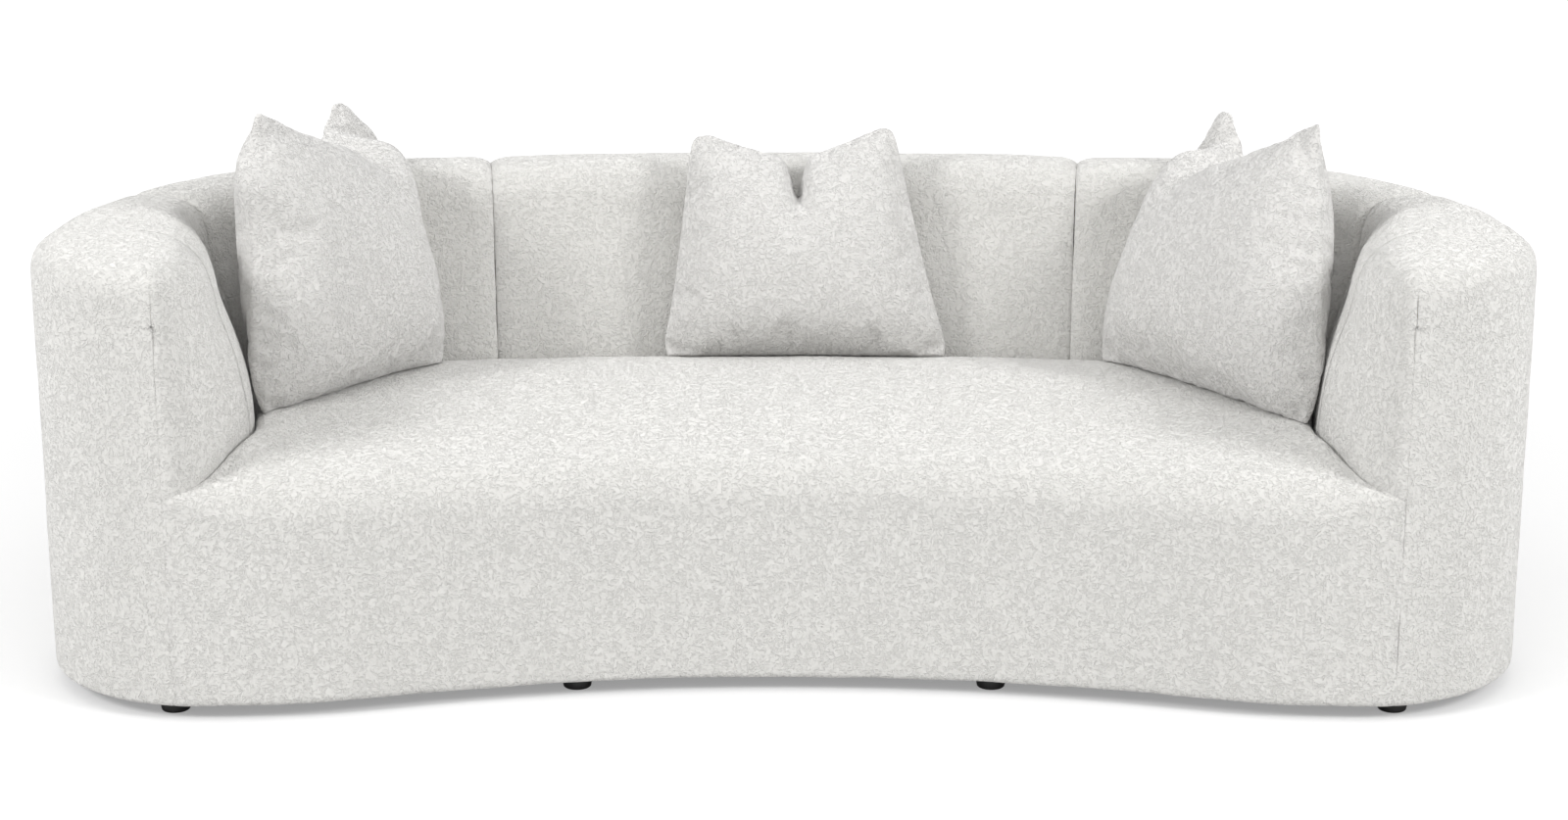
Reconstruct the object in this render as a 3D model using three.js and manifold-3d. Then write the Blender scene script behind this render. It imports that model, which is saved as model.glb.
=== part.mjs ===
// A curved sofa with a kidney-shaped plan: a plywood frame on round feet, sinuous springs, a tight seat,
// and a barrel wall of five padded panels that roll over the top and round both arm ends.
// Millimetres, +Z up, the front faces -Y, the origin is on the floor under the middle.

import * as THREE from 'three';
import { mergeVertices } from 'three/addons/utils/BufferGeometryUtils.js';
import Module from 'manifold-3d';

const wasm = await Module();
wasm.setup();

// Overall sizes
const sofaWidth = 2550;
const sofaDepth = 1180;
const wallHeight = 774;
const seatHeight = 410;
const gap = 0.3;

// Plan outline: a hollow front, two convex lobes, round noses, straight sides, wide rear corners, a bowed back
const hollowRadius = 2400;
const lobeRadius = 1000;
const noseRadius = 300;
const rearRadius = 620;
const backRadius = 4800;
const noseSeamInset = 255;

// Section of the wall at the arm ends and along the back, measured inwards from the outer face
const armThickness = 350;
const backThickness = 280;
const armCrownInset = 160;
const backCrownInset = 120;
const armRollWidth = 140;
const backRollWidth = 80;
const armRollDrop = 135;
const backRollDrop = 115;
const outerRollDrop = 100;
const armOuterPower = 0.36;
const backOuterPower = 0.56;
const backSink = 8;
const innerRollPower = 0.85;
const armBulge = 2;
const backBulge = 1.15;
const armBlendRun = 420;
const padFoamThickness = 60;
const padTuck = 35;
const coverThickness = 3;

// Panels: distance of the seams from the middle of the back, and the groove that each seam draws in
const backSeamRun = 584;
const armPanelRun = 442;
const grooveDepth = 9;
const grooveRun = 32;
const seamDip = 3;
const seamDipRun = 320;

// Frame and padding
const plyThickness = 18;
const chordRoom = 5;
const boardThickness = 3;
const fasciaThickness = 9;
const apronThickness = 12;
const ringWidth = 95;
const seatRingWidth = 75;
const seatFoamThickness = 110;
const deckThickness = 1.5;
const dustThickness = 1;
const footHeight = 24;

// Seat
const seatCrown = 24;
const frontRoundRun = 85;
const frontRoundDrop = 70;
const tipDrop = 42;
const tipRoundDrop = 8;

// Colours and finishes
const finishes = {
  boucle: { color: 0xdcdad4, roughness: 0.95, metalness: 0 },
  plywood: { color: 0xc9a878, roughness: 0.7, metalness: 0 },
  board: { color: 0x9c8a6c, roughness: 0.85, metalness: 0 },
  foam: { color: 0xe6dcb4, roughness: 0.9, metalness: 0 },
  blackCloth: { color: 0x1f2022, roughness: 0.9, metalness: 0 },
  blackFoot: { color: 0x1e2022, roughness: 0.45, metalness: 0 },
  springSteel: { color: 0x7d8084, roughness: 0.4, metalness: 1 },
  zincSteel: { color: 0xb4b7ba, roughness: 0.35, metalness: 1 },
  webbing: { color: 0x4a4a46, roughness: 0.9, metalness: 0 },
};

const sofa = new THREE.Group();

function addPiece(name, geometry, finish) {
  const mesh = new THREE.Mesh(geometry, new THREE.MeshStandardMaterial(finishes[finish]));
  mesh.name = name;
  sofa.add(mesh);
  return mesh;
}

// Closed solids from sections

// A closed solid gathered from strips between sections and from flat ends.
class Loft {
  constructor() {
    this.corners = [];
  }

  triangle(a, b, c) {
    this.corners.push(a, b, c);
  }

  // A face of four corners, split along its shorter diagonal.
  quad(a, b, c, d) {
    if (a.distanceTo(c) <= b.distanceTo(d)) {
      this.triangle(a, b, c);
      this.triangle(a, c, d);
    } else {
      this.triangle(a, b, d);
      this.triangle(b, c, d);
    }
  }

  // Faces between two lines of points; a closed line also joins its last point to its first.
  strip(first, second, closed = false) {
    const count = closed ? first.length : first.length - 1;
    for (let i = 0; i < count; i += 1) {
      const next = (i + 1) % first.length;
      this.quad(first[i], first[next], second[next], second[i]);
    }
  }

  // A flat end over a closed line of points, which need not be convex.
  cap(points, reversed = false) {
    const across = points[0].clone();
    const far = points.reduce((a, b) => (b.distanceTo(across) > a.distanceTo(across) ? b : a));
    const right = far.clone().sub(across).normalize();
    const normal = new THREE.Vector3();
    points.forEach((point, i) => {
      const next = points[(i + 1) % points.length];
      normal.add(point.clone().sub(across).cross(next.clone().sub(across)));
    });
    const up = normal.normalize().cross(right);
    const flat = points.map((p) => {
      const arm = p.clone().sub(across);
      return new THREE.Vector2(arm.dot(right), arm.dot(up));
    });
    const triangles = THREE.ShapeUtils.triangulateShape(flat, []);
    const turnOf = ([i, j, k]) => flat[j].clone().sub(flat[i]).cross(flat[k].clone().sub(flat[i]));
    const clockwise = triangles.reduce((sum, corners) => sum + turnOf(corners), 0) < 0;
    triangles.forEach(([i, j, k]) => {
      if (clockwise === reversed) this.triangle(points[i], points[j], points[k]);
      else this.triangle(points[i], points[k], points[j]);
    });
  }

  // Closed sections in a row, with both ends closed.
  row(sections) {
    for (let i = 0; i + 1 < sections.length; i += 1) this.strip(sections[i], sections[i + 1], true);
    this.cap(sections[0], true);
    this.cap(sections[sections.length - 1]);
    return this;
  }

  geometry() {
    const raw = new THREE.BufferGeometry().setFromPoints(this.corners);
    const merged = mergeVertices(raw, weldDistance);
    const source = merged.index.array;
    const kept = [];
    for (let i = 0; i < source.length; i += 3) {
      const [a, b, c] = [source[i], source[i + 1], source[i + 2]];
      if (a !== b && b !== c && c !== a) kept.push(a, b, c);
    }
    merged.setIndex(signedVolume(merged.attributes.position, kept) < 0 ? kept.reverse() : kept);
    merged.computeVertexNormals();
    return merged;
  }
}

const weldDistance = 0.002;

function signedVolume(position, index) {
  const [a, b, c] = [new THREE.Vector3(), new THREE.Vector3(), new THREE.Vector3()];
  let sum = 0;
  for (let i = 0; i < index.length; i += 3) {
    a.fromBufferAttribute(position, index[i]);
    b.fromBufferAttribute(position, index[i + 1]);
    c.fromBufferAttribute(position, index[i + 2]);
    sum += a.dot(b.cross(c));
  }
  return sum;
}

// The same solid on the other side of the sofa's middle plane.
function mirrored(geometry) {
  const copy = geometry.clone();
  copy.scale(-1, 1, 1);
  copy.setIndex(Array.from(copy.index.array).reverse());
  copy.computeVertexNormals();
  return copy;
}

// A closed geometry as a solid that can be joined to others.
function solidOf(geometry) {
  const bare = geometry.index ? geometry.toNonIndexed() : geometry.clone();
  bare.deleteAttribute('normal');
  bare.deleteAttribute('uv');
  const merged = mergeVertices(bare, weldDistance);
  const vertProperties = merged.attributes.position.array;
  const triVerts = new Uint32Array(merged.index.array);
  return new wasm.Manifold(new wasm.Mesh({ numProp: 3, vertProperties, triVerts }));
}

// Pieces that are fixed into each other, joined to one solid.
function joined(geometries) {
  const whole = geometries.map(solidOf).reduce((sum, solid) => sum.add(solid));
  const { vertProperties, triVerts } = whole.getMesh();
  const geometry = new THREE.BufferGeometry();
  geometry.setAttribute('position', new THREE.BufferAttribute(vertProperties, 3));
  geometry.setIndex(new THREE.BufferAttribute(triVerts, 1));
  geometry.computeVertexNormals();
  return geometry;
}

// A flat plate between two heights over a closed plan outline, with holes.
function plate(outline, bottom, top, holes = []) {
  const shape = new THREE.Shape(outline);
  shape.holes = holes.map((hole) => new THREE.Path(hole));
  const geometry = new THREE.ExtrudeGeometry(shape, { depth: top - bottom, bevelEnabled: false });
  return geometry.translate(0, 0, bottom);
}

function shares(count) {
  return Array.from({ length: count + 1 }, (_, i) => i / count);
}

const mix = THREE.MathUtils.lerp;

// Plan of the sofa

const sideX = sofaWidth / 2;
const frontY = -sofaDepth / 2;
const backY = sofaDepth / 2;
const lobeX = sideX - noseRadius;
const lobeTurn = Math.asin(lobeX / (hollowRadius + lobeRadius));
const hollowY = frontY + lobeRadius - (hollowRadius + lobeRadius) * Math.cos(lobeTurn);
const noseY = frontY + noseRadius;
const backTurn = Math.asin((sideX - rearRadius) / (backRadius - rearRadius));
const backCentreY = backY - backRadius;
const rearX = sideX - rearRadius;
const rearY = backCentreY + (backRadius - rearRadius) * Math.cos(backTurn);
const sideRun = rearY - noseY;
const rearRun = rearRadius * (Math.PI / 2 - backTurn);
const wallRun = sideRun + rearRun + backRadius * backTurn;
const armSeamRun = wallRun - armPanelRun;
const noseSeamX = sideX - noseSeamInset;

// Places along the right half of the wall where sections are taken, counted from the middle of the back
const evenly = (from, to, count) => shares(count).map((share) => mix(from, to, share));
const wallStops = [
  ...evenly(wallRun, armSeamRun + grooveRun, 3),
  armSeamRun,
  ...evenly(armSeamRun - grooveRun, backSeamRun + grooveRun, 5),
  backSeamRun,
  ...evenly(backSeamRun - grooveRun, 0, 2),
];

// The front outline at x, moved inwards.
function frontPoint(x, inset) {
  const reach = Math.abs(x);
  const rise = (radius, from) => Math.sqrt(radius ** 2 - (reach - from) ** 2);
  if (reach <= (hollowRadius + inset) * Math.sin(lobeTurn)) {
    return new THREE.Vector2(x, hollowY + rise(hollowRadius + inset, 0));
  }
  if (reach <= lobeX) return new THREE.Vector2(x, frontY + lobeRadius - rise(lobeRadius - inset, lobeX));
  return new THREE.Vector2(x, noseY - rise(noseRadius - inset, lobeX));
}

// The outer face of the right-hand wall, a distance along it from the end of the arm to the middle of the back.
function outerFace(run) {
  if (run <= sideRun) return { x: sideX, y: noseY + run, turn: 0 };
  if (run <= sideRun + rearRun) {
    const turn = (run - sideRun) / rearRadius;
    return { x: rearX + rearRadius * Math.cos(turn), y: rearY + rearRadius * Math.sin(turn), turn };
  }
  const turn = Math.PI / 2 - backTurn + (run - sideRun - rearRun) / backRadius;
  return { x: backRadius * Math.cos(turn), y: backCentreY + backRadius * Math.sin(turn), turn };
}

// Sizes of the wall's section at a distance from the arm end.
function wallSizes(run) {
  const share = THREE.MathUtils.smoothstep(run, 0, armBlendRun);
  const crownInset = mix(armCrownInset, backCrownInset, share);
  const half = mix(armThickness, backThickness, share) - crownInset;
  const roll = mix(armRollWidth, backRollWidth, share);
  const fromSeam = Math.min(...[armSeamRun, backSeamRun].map((seam) => Math.abs(wallRun - run - seam)));
  const dip = backSink * share + seamDip * Math.max(0, 1 - fromSeam / seamDipRun) ** 2;
  return {
    crownInset,
    outer: { half: crownInset, lean: 0, drop: outerRollDrop, bulge: 1, power: mix(armOuterPower, backOuterPower, share), dip },
    inner: {
      half,
      lean: half - roll,
      drop: mix(armRollDrop, backRollDrop, share),
      bulge: mix(armBulge, backBulge, share),
      power: innerRollPower,
      dip,
    },
  };
}

// A place on the wall, measured from the middle of the back; positive runs go to the right-hand arm.
function wallStation(fromMiddle) {
  const run = wallRun - Math.abs(fromMiddle);
  const face = outerFace(run);
  const side = fromMiddle < 0 ? -1 : 1;
  const sizes = wallSizes(run);
  const out = new THREE.Vector2(side * Math.cos(face.turn), Math.sin(face.turn));
  const crown = new THREE.Vector2(side * face.x, face.y).addScaledVector(out, -sizes.crownInset);
  return { crown, out, inward: out.clone().negate(), ...sizes };
}

// A point of a station's section, across from the crown line and at a height.
function place(crown, direction, across, height) {
  return new THREE.Vector3(crown.x + direction.x * across, crown.y + direction.y * across, height);
}

// Arm nose: the section turns about the end of the crown line, from the outer face over the seam to the inner face

const noseCrown = new THREE.Vector2(sideX - armCrownInset, noseY);
const noseSeamTurn = Math.acos((noseSeamX - lobeX) / noseRadius);
const noseTip = new THREE.Vector2(noseSeamX, noseY - noseRadius * Math.sin(noseSeamTurn));
const innerArmX = sideX - armThickness;
const noseDip = wallSizes(0).outer.dip;
const outerNoseShares = shares(6);
const innerNoseShares = shares(5);

function noseDirection(edge, sizes) {
  const half = edge.distanceTo(noseCrown);
  const direction = edge.clone().sub(noseCrown).normalize();
  return { crown: noseCrown, direction, section: { ...sizes, half } };
}

function outerNose(share) {
  const turn = -share * noseSeamTurn;
  const edge = new THREE.Vector2(lobeX + noseRadius * Math.cos(turn), noseY + noseRadius * Math.sin(turn));
  return noseDirection(edge, { lean: 0, drop: outerRollDrop, bulge: 1, power: armOuterPower, dip: noseDip });
}

function innerNose(share) {
  const turn = ((1 - share) * Math.PI) / 2;
  const edge = new THREE.Vector2(
    noseSeamX - (noseSeamX - innerArmX) * Math.cos(turn),
    noseY - (noseY - noseTip.y) * Math.sin(turn),
  );
  const armLean = armThickness - armCrownInset - armRollWidth;
  return noseDirection(edge, {
    lean: armLean * share,
    drop: mix(outerRollDrop, armRollDrop, share),
    bulge: armBulge,
    power: mix(armOuterPower, innerRollPower, share),
    dip: noseDip,
  });
}

// Half sections of the wall, from the crown down

const seamHeight = wallHeight - outerRollDrop;
const padBottom = seatHeight - padTuck;
const rollTurnShares = shares(4);
const faceShares = [0.25, 0.5, 0.75, 1];

// The visible roll, moved inwards: [across, height] from the crown to where the roll ends.
function rollLine(section, inset) {
  const width = section.half - section.lean - inset;
  return rollTurnShares.map((share) => {
    const turn = (share * Math.PI) / 2;
    const rise = (section.drop - inset - section.dip) * Math.cos(turn) ** section.power;
    return [width * Math.sin(turn) ** section.power, wallHeight - section.drop + rise];
  });
}

// The face below the roll, which bulges and leans down to the seat, then drops straight behind it.
function faceLine(section, inset) {
  const width = section.half - section.lean - inset;
  const rollEnd = wallHeight - section.drop;
  const line = faceShares.map((share) => [
    width + section.lean * (1 - (1 - share) ** section.bulge),
    mix(rollEnd, seatHeight, share),
  ]);
  return [...line, [section.half - inset, padBottom]];
}

// Seams draw the surface in near both ends of a panel.
function grooveAt(distance) {
  return grooveDepth * Math.max(0, 1 - distance / grooveRun) ** 2;
}

const onSection = (crown, direction, line) => line.map(([across, height]) => place(crown, direction, across, height));

// Half section of a panel's cover: its skin, and its back one thickness behind.
function coverHalf(section, groove, facing) {
  const skin = rollLine(section, groove);
  const back = rollLine(section, groove + coverThickness);
  if (facing === 'outer') return [...skin, ...back.reverse()];
  const skinFace = faceLine(section, groove);
  const backFace = faceLine(section, groove + coverThickness);
  return [...skin, ...skinFace, ...backFace.reverse(), ...back.reverse()];
}

// Half section of the foam under a cover: a roll on top of the rail and a slab down the inner face.
function foamHalf(section, groove, facing) {
  const inset = groove + coverThickness + gap;
  const skin = rollLine(section, inset);
  const rollWidth = section.half - section.lean;
  const heel = [rollWidth - padFoamThickness, seamHeight];
  const underside = [[0, seamHeight]];
  if (facing === 'outer') return [...skin, heel, ...underside];
  const back = faceLine(section, padFoamThickness);
  return [...skin, ...faceLine(section, inset), ...back.reverse(), heel, ...underside];
}

// Points that the inner half section has and the outer one lacks.
function lowerPart(outer, inner, rollCount) {
  const extra = inner.length - outer.length;
  return inner.slice(rollCount - 1, rollCount + extra + 1);
}

const allStops = [...wallStops, ...wallStops.slice(0, -1).map((stop) => -stop)];
const clearOf = (stop, ...ends) => ends.every((end) => Math.abs(stop - end) > gap);

// A panel between two places on the wall; an arm panel also turns round the nose.
function panelGeometry(from, to, halfSection, roundsNose) {
  const loft = new Loft();
  const runs = [from, ...allStops.filter((stop) => (stop - from) * (stop - to) < 0 && clearOf(stop, from, to)), to];
  runs.sort((a, b) => (to > from ? a - b : b - a));
  const sections = runs.map((run) => {
    const station = wallStation(run);
    const ends = roundsNose ? Math.abs(run - from) : Math.min(Math.abs(run - from), Math.abs(run - to));
    const outer = halfSection(station.outer, grooveAt(ends), 'outer');
    const inner = halfSection(station.inner, grooveAt(ends), 'inner');
    return [
      ...onSection(station.crown, station.out, outer),
      ...onSection(station.crown, station.inward, inner).reverse(),
    ];
  });
  for (let i = 0; i + 1 < sections.length; i += 1) loft.strip(sections[i], sections[i + 1], true);
  loft.cap(sections[0], true);
  if (!roundsNose) loft.cap(sections[sections.length - 1]);
  else turnNose(loft, halfSection);
  return loft.geometry();
}

// The nose end of the right-hand arm panel.
function turnNose(loft, halfSection) {
  const line = ({ crown, direction, section }, facing) =>
    onSection(crown, direction, halfSection(section, 0, facing));
  const outer = outerNoseShares.map((share) => line(outerNose(share), 'outer'));
  const inner = innerNoseShares.map((share) => line(innerNose(share), 'inner'));
  for (let i = 0; i + 1 < outer.length; i += 1) loft.strip(outer[i], outer[i + 1]);
  for (let i = 0; i + 1 < inner.length; i += 1) loft.strip(inner[i], inner[i + 1]);
  loft.cap(lowerPart(outer[0], inner[0], rollTurnShares.length), true);
}

// Five channel panels: foam pads and their covers

const halfSeam = gap / 2;
const panels = [
  { name: 'center_back', from: -backSeamRun + halfSeam, to: backSeamRun - halfSeam },
  { name: 'right_back', from: backSeamRun + halfSeam, to: armSeamRun - halfSeam },
  { name: 'right_arm', from: armSeamRun + halfSeam, to: wallRun, roundsNose: true },
];

panels.forEach(({ name, from, to, roundsNose = false }) => {
  const cover = panelGeometry(from, to, coverHalf, roundsNose);
  const foam = panelGeometry(from, to, foamHalf, roundsNose);
  addPiece(`${name}_cover`, cover, 'boucle');
  addPiece(`${name}_foam`, foam, 'foam');
  if (!name.startsWith('right')) return;
  const leftName = name.replace('right', 'left');
  addPiece(`${leftName}_cover`, mirrored(cover), 'boucle');
  addPiece(`${leftName}_foam`, mirrored(foam), 'foam');
});

// Outside covers: one band of cloth from nose seam to nose seam in three lengths, turned in at the hem

const hemHeight = footHeight;
const hemRound = 10;
const outsideTop = seamHeight - gap;

// The outer face from the nose seam (0) round the nose (1), then along the wall by run.
function outsidePlace(noseShare, fromMiddle) {
  if (noseShare === null) {
    const { crown, out, outer } = wallStation(fromMiddle);
    return { crown, direction: out, half: outer.half };
  }
  const { crown, direction, section } = outerNose(noseShare);
  return { crown, direction, half: section.half };
}

function bandSection({ crown, direction, half }, profile) {
  return profile.map(([inset, height]) => place(crown, direction, half - inset, height));
}

const coverProfile = [
  [0, outsideTop],
  [0, hemHeight + hemRound],
  [hemRound * (1 - Math.SQRT1_2), hemHeight + hemRound * (1 - Math.SQRT1_2)],
  [hemRound, hemHeight],
  [hemRound, hemHeight + coverThickness],
  [coverThickness + hemRound * (1 - Math.SQRT1_2), hemHeight + hemRound * (1 - Math.SQRT1_2) + coverThickness],
  [coverThickness, hemHeight + hemRound + coverThickness],
  [coverThickness, outsideTop],
];

const seamClear = halfSeam / (noseRadius * noseSeamTurn);
const rightOutside = [
  outsidePlace(1 - seamClear),
  ...outerNoseShares.slice(0, -1).reverse().map((share) => outsidePlace(share)),
  ...wallStops.slice(1).filter((stop) => stop > armSeamRun).map((stop) => outsidePlace(null, stop)),
  outsidePlace(null, armSeamRun + halfSeam),
];
const middleStops = wallStops.filter((stop) => stop < armSeamRun);
const backOutside = [
  armSeamRun - halfSeam,
  ...middleStops,
  ...middleStops.slice(0, -1).reverse().map((stop) => -stop),
  halfSeam - armSeamRun,
].map((stop) => outsidePlace(null, stop));

const rightOutsideCover = new Loft().row(rightOutside.map((stop) => bandSection(stop, coverProfile))).geometry();
addPiece('right_outside_cover', rightOutsideCover, 'boucle');
addPiece('left_outside_cover', mirrored(rightOutsideCover), 'boucle');
const backOutsideCover = new Loft().row(backOutside.map((stop) => bandSection(stop, coverProfile))).geometry();
addPiece('back_outside_cover', backOutsideCover, 'boucle');

// Frame levels

const dustBottom = footHeight + gap;
const ringBottom = dustBottom + dustThickness + gap;
const ringTop = ringBottom + plyThickness;
const railTop = seamHeight - gap;
const railBottom = railTop - plyThickness;
const boardInset = coverThickness + gap;
const frameInset = boardInset + boardThickness + gap;

// Outside board: thin board bent round the ribs from nose to nose

const boardProfile = [
  [boardInset, railTop],
  [boardInset, ringTop + gap],
  [boardInset + boardThickness, ringTop + gap],
  [boardInset + boardThickness, railTop],
];
const leftOutside = rightOutside.map(({ crown, direction, half }) => ({
  crown: new THREE.Vector2(-crown.x, crown.y),
  direction: new THREE.Vector2(-direction.x, direction.y),
  half,
}));
const boardStops = [...rightOutside, ...backOutside.slice(1, -1), ...leftOutside.reverse()];
addPiece('outside_board', new Loft().row(boardStops.map((stop) => bandSection(stop, boardProfile))).geometry(), 'board');

// Top rail: a plywood strip under the roll, round both noses

// The nose of the rail keeps inside the board on one side of the seam and inside the foam on the other.
const railEdge = ({ crown, direction, section }, inset) =>
  crown.clone().addScaledVector(direction, section.half - section.lean - inset);
const railNose = [
  ...innerNoseShares.slice(0, -1).reverse().map((share) => railEdge(innerNose(share), padFoamThickness + gap)),
  railEdge(outerNose(1 - 2 * seamClear), padFoamThickness + gap),
  railEdge(outerNose(1 - 2 * seamClear), frameInset),
  ...outerNoseShares.slice(1, -1).reverse().map((share) => railEdge(outerNose(share), frameInset)),
];
const railOuter = wallStops.map((stop) => {
  const { crown, out, outer } = wallStation(stop);
  return crown.clone().addScaledVector(out, outer.half - frameInset);
});
const railInner = wallStops.map((stop) => {
  const { crown, inward, inner } = wallStation(stop);
  return crown.clone().addScaledVector(inward, inner.half - inner.lean - padFoamThickness - gap);
});
const acrossMiddle = (points) => points.map((point) => new THREE.Vector2(-point.x, point.y));
const railHalfOuter = [...railNose, ...railOuter];
const railOutline = [
  ...railHalfOuter,
  ...acrossMiddle(railHalfOuter).reverse().slice(1),
  ...acrossMiddle(railInner),
  ...[...railInner].reverse().slice(1),
];
addPiece('top_rail', plate(railOutline, railBottom, railTop), 'plywood');

// Wall ribs: upright plates across the wall, with a ledge that carries the seat ring

const webThickness = 1.5;
const ribClear = 2;
const springRise = 12;
const wireRadius = 1.9;
const clipSheet = 2;
const deckTop = seatHeight - seatFoamThickness - gap;
const springTop = deckTop - deckThickness - gap;
const springEndHeight = springTop - wireRadius - springRise;
const seatRingTop = springEndHeight - wireRadius - gap - clipSheet - gap;
const seatRingBottom = seatRingTop - plyThickness;
const ribInset = padFoamThickness + webThickness + gap + ribClear;
const ribSpots = { runShares: [0, 0.23, 0.46, 0.69, 0.92], windowMargin: 38, windowFloor: 90 };

// A falling line of [across, height] that starts at a level: raised straight up to it, or cut there.
function cutBelow(line, level) {
  const first = line.findIndex(([, height]) => height < level);
  if (first === 0) return [[line[0][0], level], ...line];
  const [[highAcross, high], [lowAcross, low]] = [line[first - 1], line[first]];
  return [[mix(highAcross, lowAcross, (high - level) / (high - low)), level], ...line.slice(first)];
}

// Outline of a rib across the wall: outwards from the crown line is positive.
function ribOutline({ outer, inner }) {
  const back = outer.half - frameInset - chordRoom;
  const rollEnd = [inner.half - inner.lean - ribInset, wallHeight - inner.drop];
  const lean = [rollEnd, ...faceLine(inner, ribInset).slice(0, -1)];
  const ledge = inner.half - padFoamThickness + seatRingWidth;
  return [
    [back, ringTop + gap],
    [back, railBottom - gap],
    ...cutBelow(lean, railBottom - gap).map(([across, height]) => [-across, height]),
    [-(inner.half - ribInset), seatRingBottom - gap],
    [-ledge, seatRingBottom - gap],
    [-ledge, ringTop + gap + ribSpots.windowMargin],
    [-(inner.half - ribInset), ringTop + gap],
  ];
}

// The opening sawn out of a rib to save weight.
function ribWindow({ outer, inner }) {
  const { windowMargin, windowFloor } = ribSpots;
  const right = outer.half - frameInset - windowMargin;
  const left = -(inner.half - ribInset - windowMargin);
  const floor = ringTop + windowFloor;
  const top = seatRingBottom - windowMargin;
  return [[left, floor], [right, floor], [right, top], [left, top]];
}

// A plate of plywood cut to an outline of [across, height] and stood at a place on the wall.
function uprightPlate(outline, windowOutline, thickness) {
  const shape = new THREE.Shape(outline.map(([x, y]) => new THREE.Vector2(x, y)));
  if (windowOutline) shape.holes.push(new THREE.Path(windowOutline.map(([x, y]) => new THREE.Vector2(x, y))));
  const geometry = new THREE.ExtrudeGeometry(shape, { depth: thickness, bevelEnabled: false });
  return geometry.translate(0, 0, -thickness / 2).rotateX(Math.PI / 2);
}

function standRib(name, fromMiddle) {
  const station = wallStation(fromMiddle);
  const rib = addPiece(name, uprightPlate(ribOutline(station), ribWindow(station), plyThickness), 'plywood');
  rib.position.set(station.crown.x, station.crown.y, 0);
  rib.rotation.z = Math.atan2(station.out.y, station.out.x);
}

ribSpots.runShares.forEach((share, i) => {
  standRib(`right_rib_${i + 1}`, wallRun * (1 - share));
  standRib(`left_rib_${i + 1}`, -wallRun * (1 - share));
});

// Nose formers: plates that run forward from the first ribs and carry the front of the rail

const formerReach = noseCrown.y - frontPoint(noseCrown.x + plyThickness / 2, frameInset).y - chordRoom;
const formerOutline = [
  [plyThickness / 2 + gap, ringTop + gap],
  [formerReach, ringTop + gap],
  [formerReach, railBottom - gap],
  [plyThickness / 2 + gap, railBottom - gap],
];
const formerWindow = [
  [plyThickness / 2 + ribSpots.windowMargin, ringTop + ribSpots.windowFloor],
  [formerReach - ribSpots.windowMargin, ringTop + ribSpots.windowFloor],
  [formerReach - ribSpots.windowMargin, railBottom - ribSpots.windowFloor],
  [plyThickness / 2 + ribSpots.windowMargin, railBottom - ribSpots.windowFloor],
];
[['right', 1], ['left', -1]].forEach(([side, sign]) => {
  const former = addPiece(`${side}_nose_former`, uprightPlate(formerOutline, formerWindow, plyThickness), 'plywood');
  former.position.set(sign * noseCrown.x, noseCrown.y, 0);
  former.rotation.z = -Math.PI / 2;
});

// Bottom ring: the plywood base that follows the whole plan, with bores for the feet

const footInset = 58;
const boltRadius = 4;
const nutBarrelRadius = 5;
const outerFootInset = 247;
const frontFootXs = [357, sideX - outerFootInset];
const rearFootRuns = [360, 1208];
const boreSides = 8;

const outlineXShares = shares(6);
const noseArcShares = shares(6);
const rearArcShares = shares(7);
const backArcShares = shares(4);

// The whole plan outline moved inwards by an inset, anticlockwise from the middle of the front.
function planOutline(inset) {
  const hollowEnd = (hollowRadius + inset) * Math.sin(lobeTurn);
  const arc = (x, y, radius, from, to, share) => {
    const turn = mix(from, to, share);
    return new THREE.Vector2(x + radius * Math.cos(turn), y + radius * Math.sin(turn));
  };
  const right = [
    ...outlineXShares.map((share) => frontPoint(hollowEnd * share, inset)),
    ...shares(2).slice(1).map((share) => frontPoint(mix(hollowEnd, lobeX, share), inset)),
    ...noseArcShares.slice(1).map((s) => arc(lobeX, noseY, noseRadius - inset, -Math.PI / 2, 0, s)),
    ...rearArcShares.map((s) => arc(rearX, rearY, rearRadius - inset, 0, Math.PI / 2 - backTurn, s)),
    ...backArcShares.slice(1).map((s) => arc(0, backCentreY, backRadius - inset, Math.PI / 2 - backTurn, Math.PI / 2, s)),
  ];
  return [...right, ...acrossMiddle(right).reverse().slice(1, -1)];
}

const footSpots = [
  ...frontFootXs.map((x) => frontPoint(x, footInset)),
  ...rearFootRuns.map((run) => {
    const { crown, out, outer } = wallStation(run);
    return crown.clone().addScaledVector(out, outer.half - footInset);
  }),
].flatMap((spot) => [spot, new THREE.Vector2(-spot.x, spot.y)]);

function circleAt(centre, radius) {
  return shares(boreSides).slice(1).map((share) => {
    const turn = share * 2 * Math.PI;
    return new THREE.Vector2(centre.x + radius * Math.cos(turn), centre.y + radius * Math.sin(turn));
  });
}

// A body of revolution with its doubled corners joined.
function turned(profile, sides) {
  return welded(new THREE.LatheGeometry(profile, sides).rotateX(Math.PI / 2));
}

// A geometry with its doubled corners joined, and any face without area left out.
function welded(geometry) {
  const loft = new Loft();
  const flat = geometry.index ? geometry.toNonIndexed() : geometry;
  for (let i = 0; i < flat.attributes.position.count; i += 1) {
    loft.corners.push(new THREE.Vector3().fromBufferAttribute(flat.attributes.position, i));
  }
  return loft.geometry();
}

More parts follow.
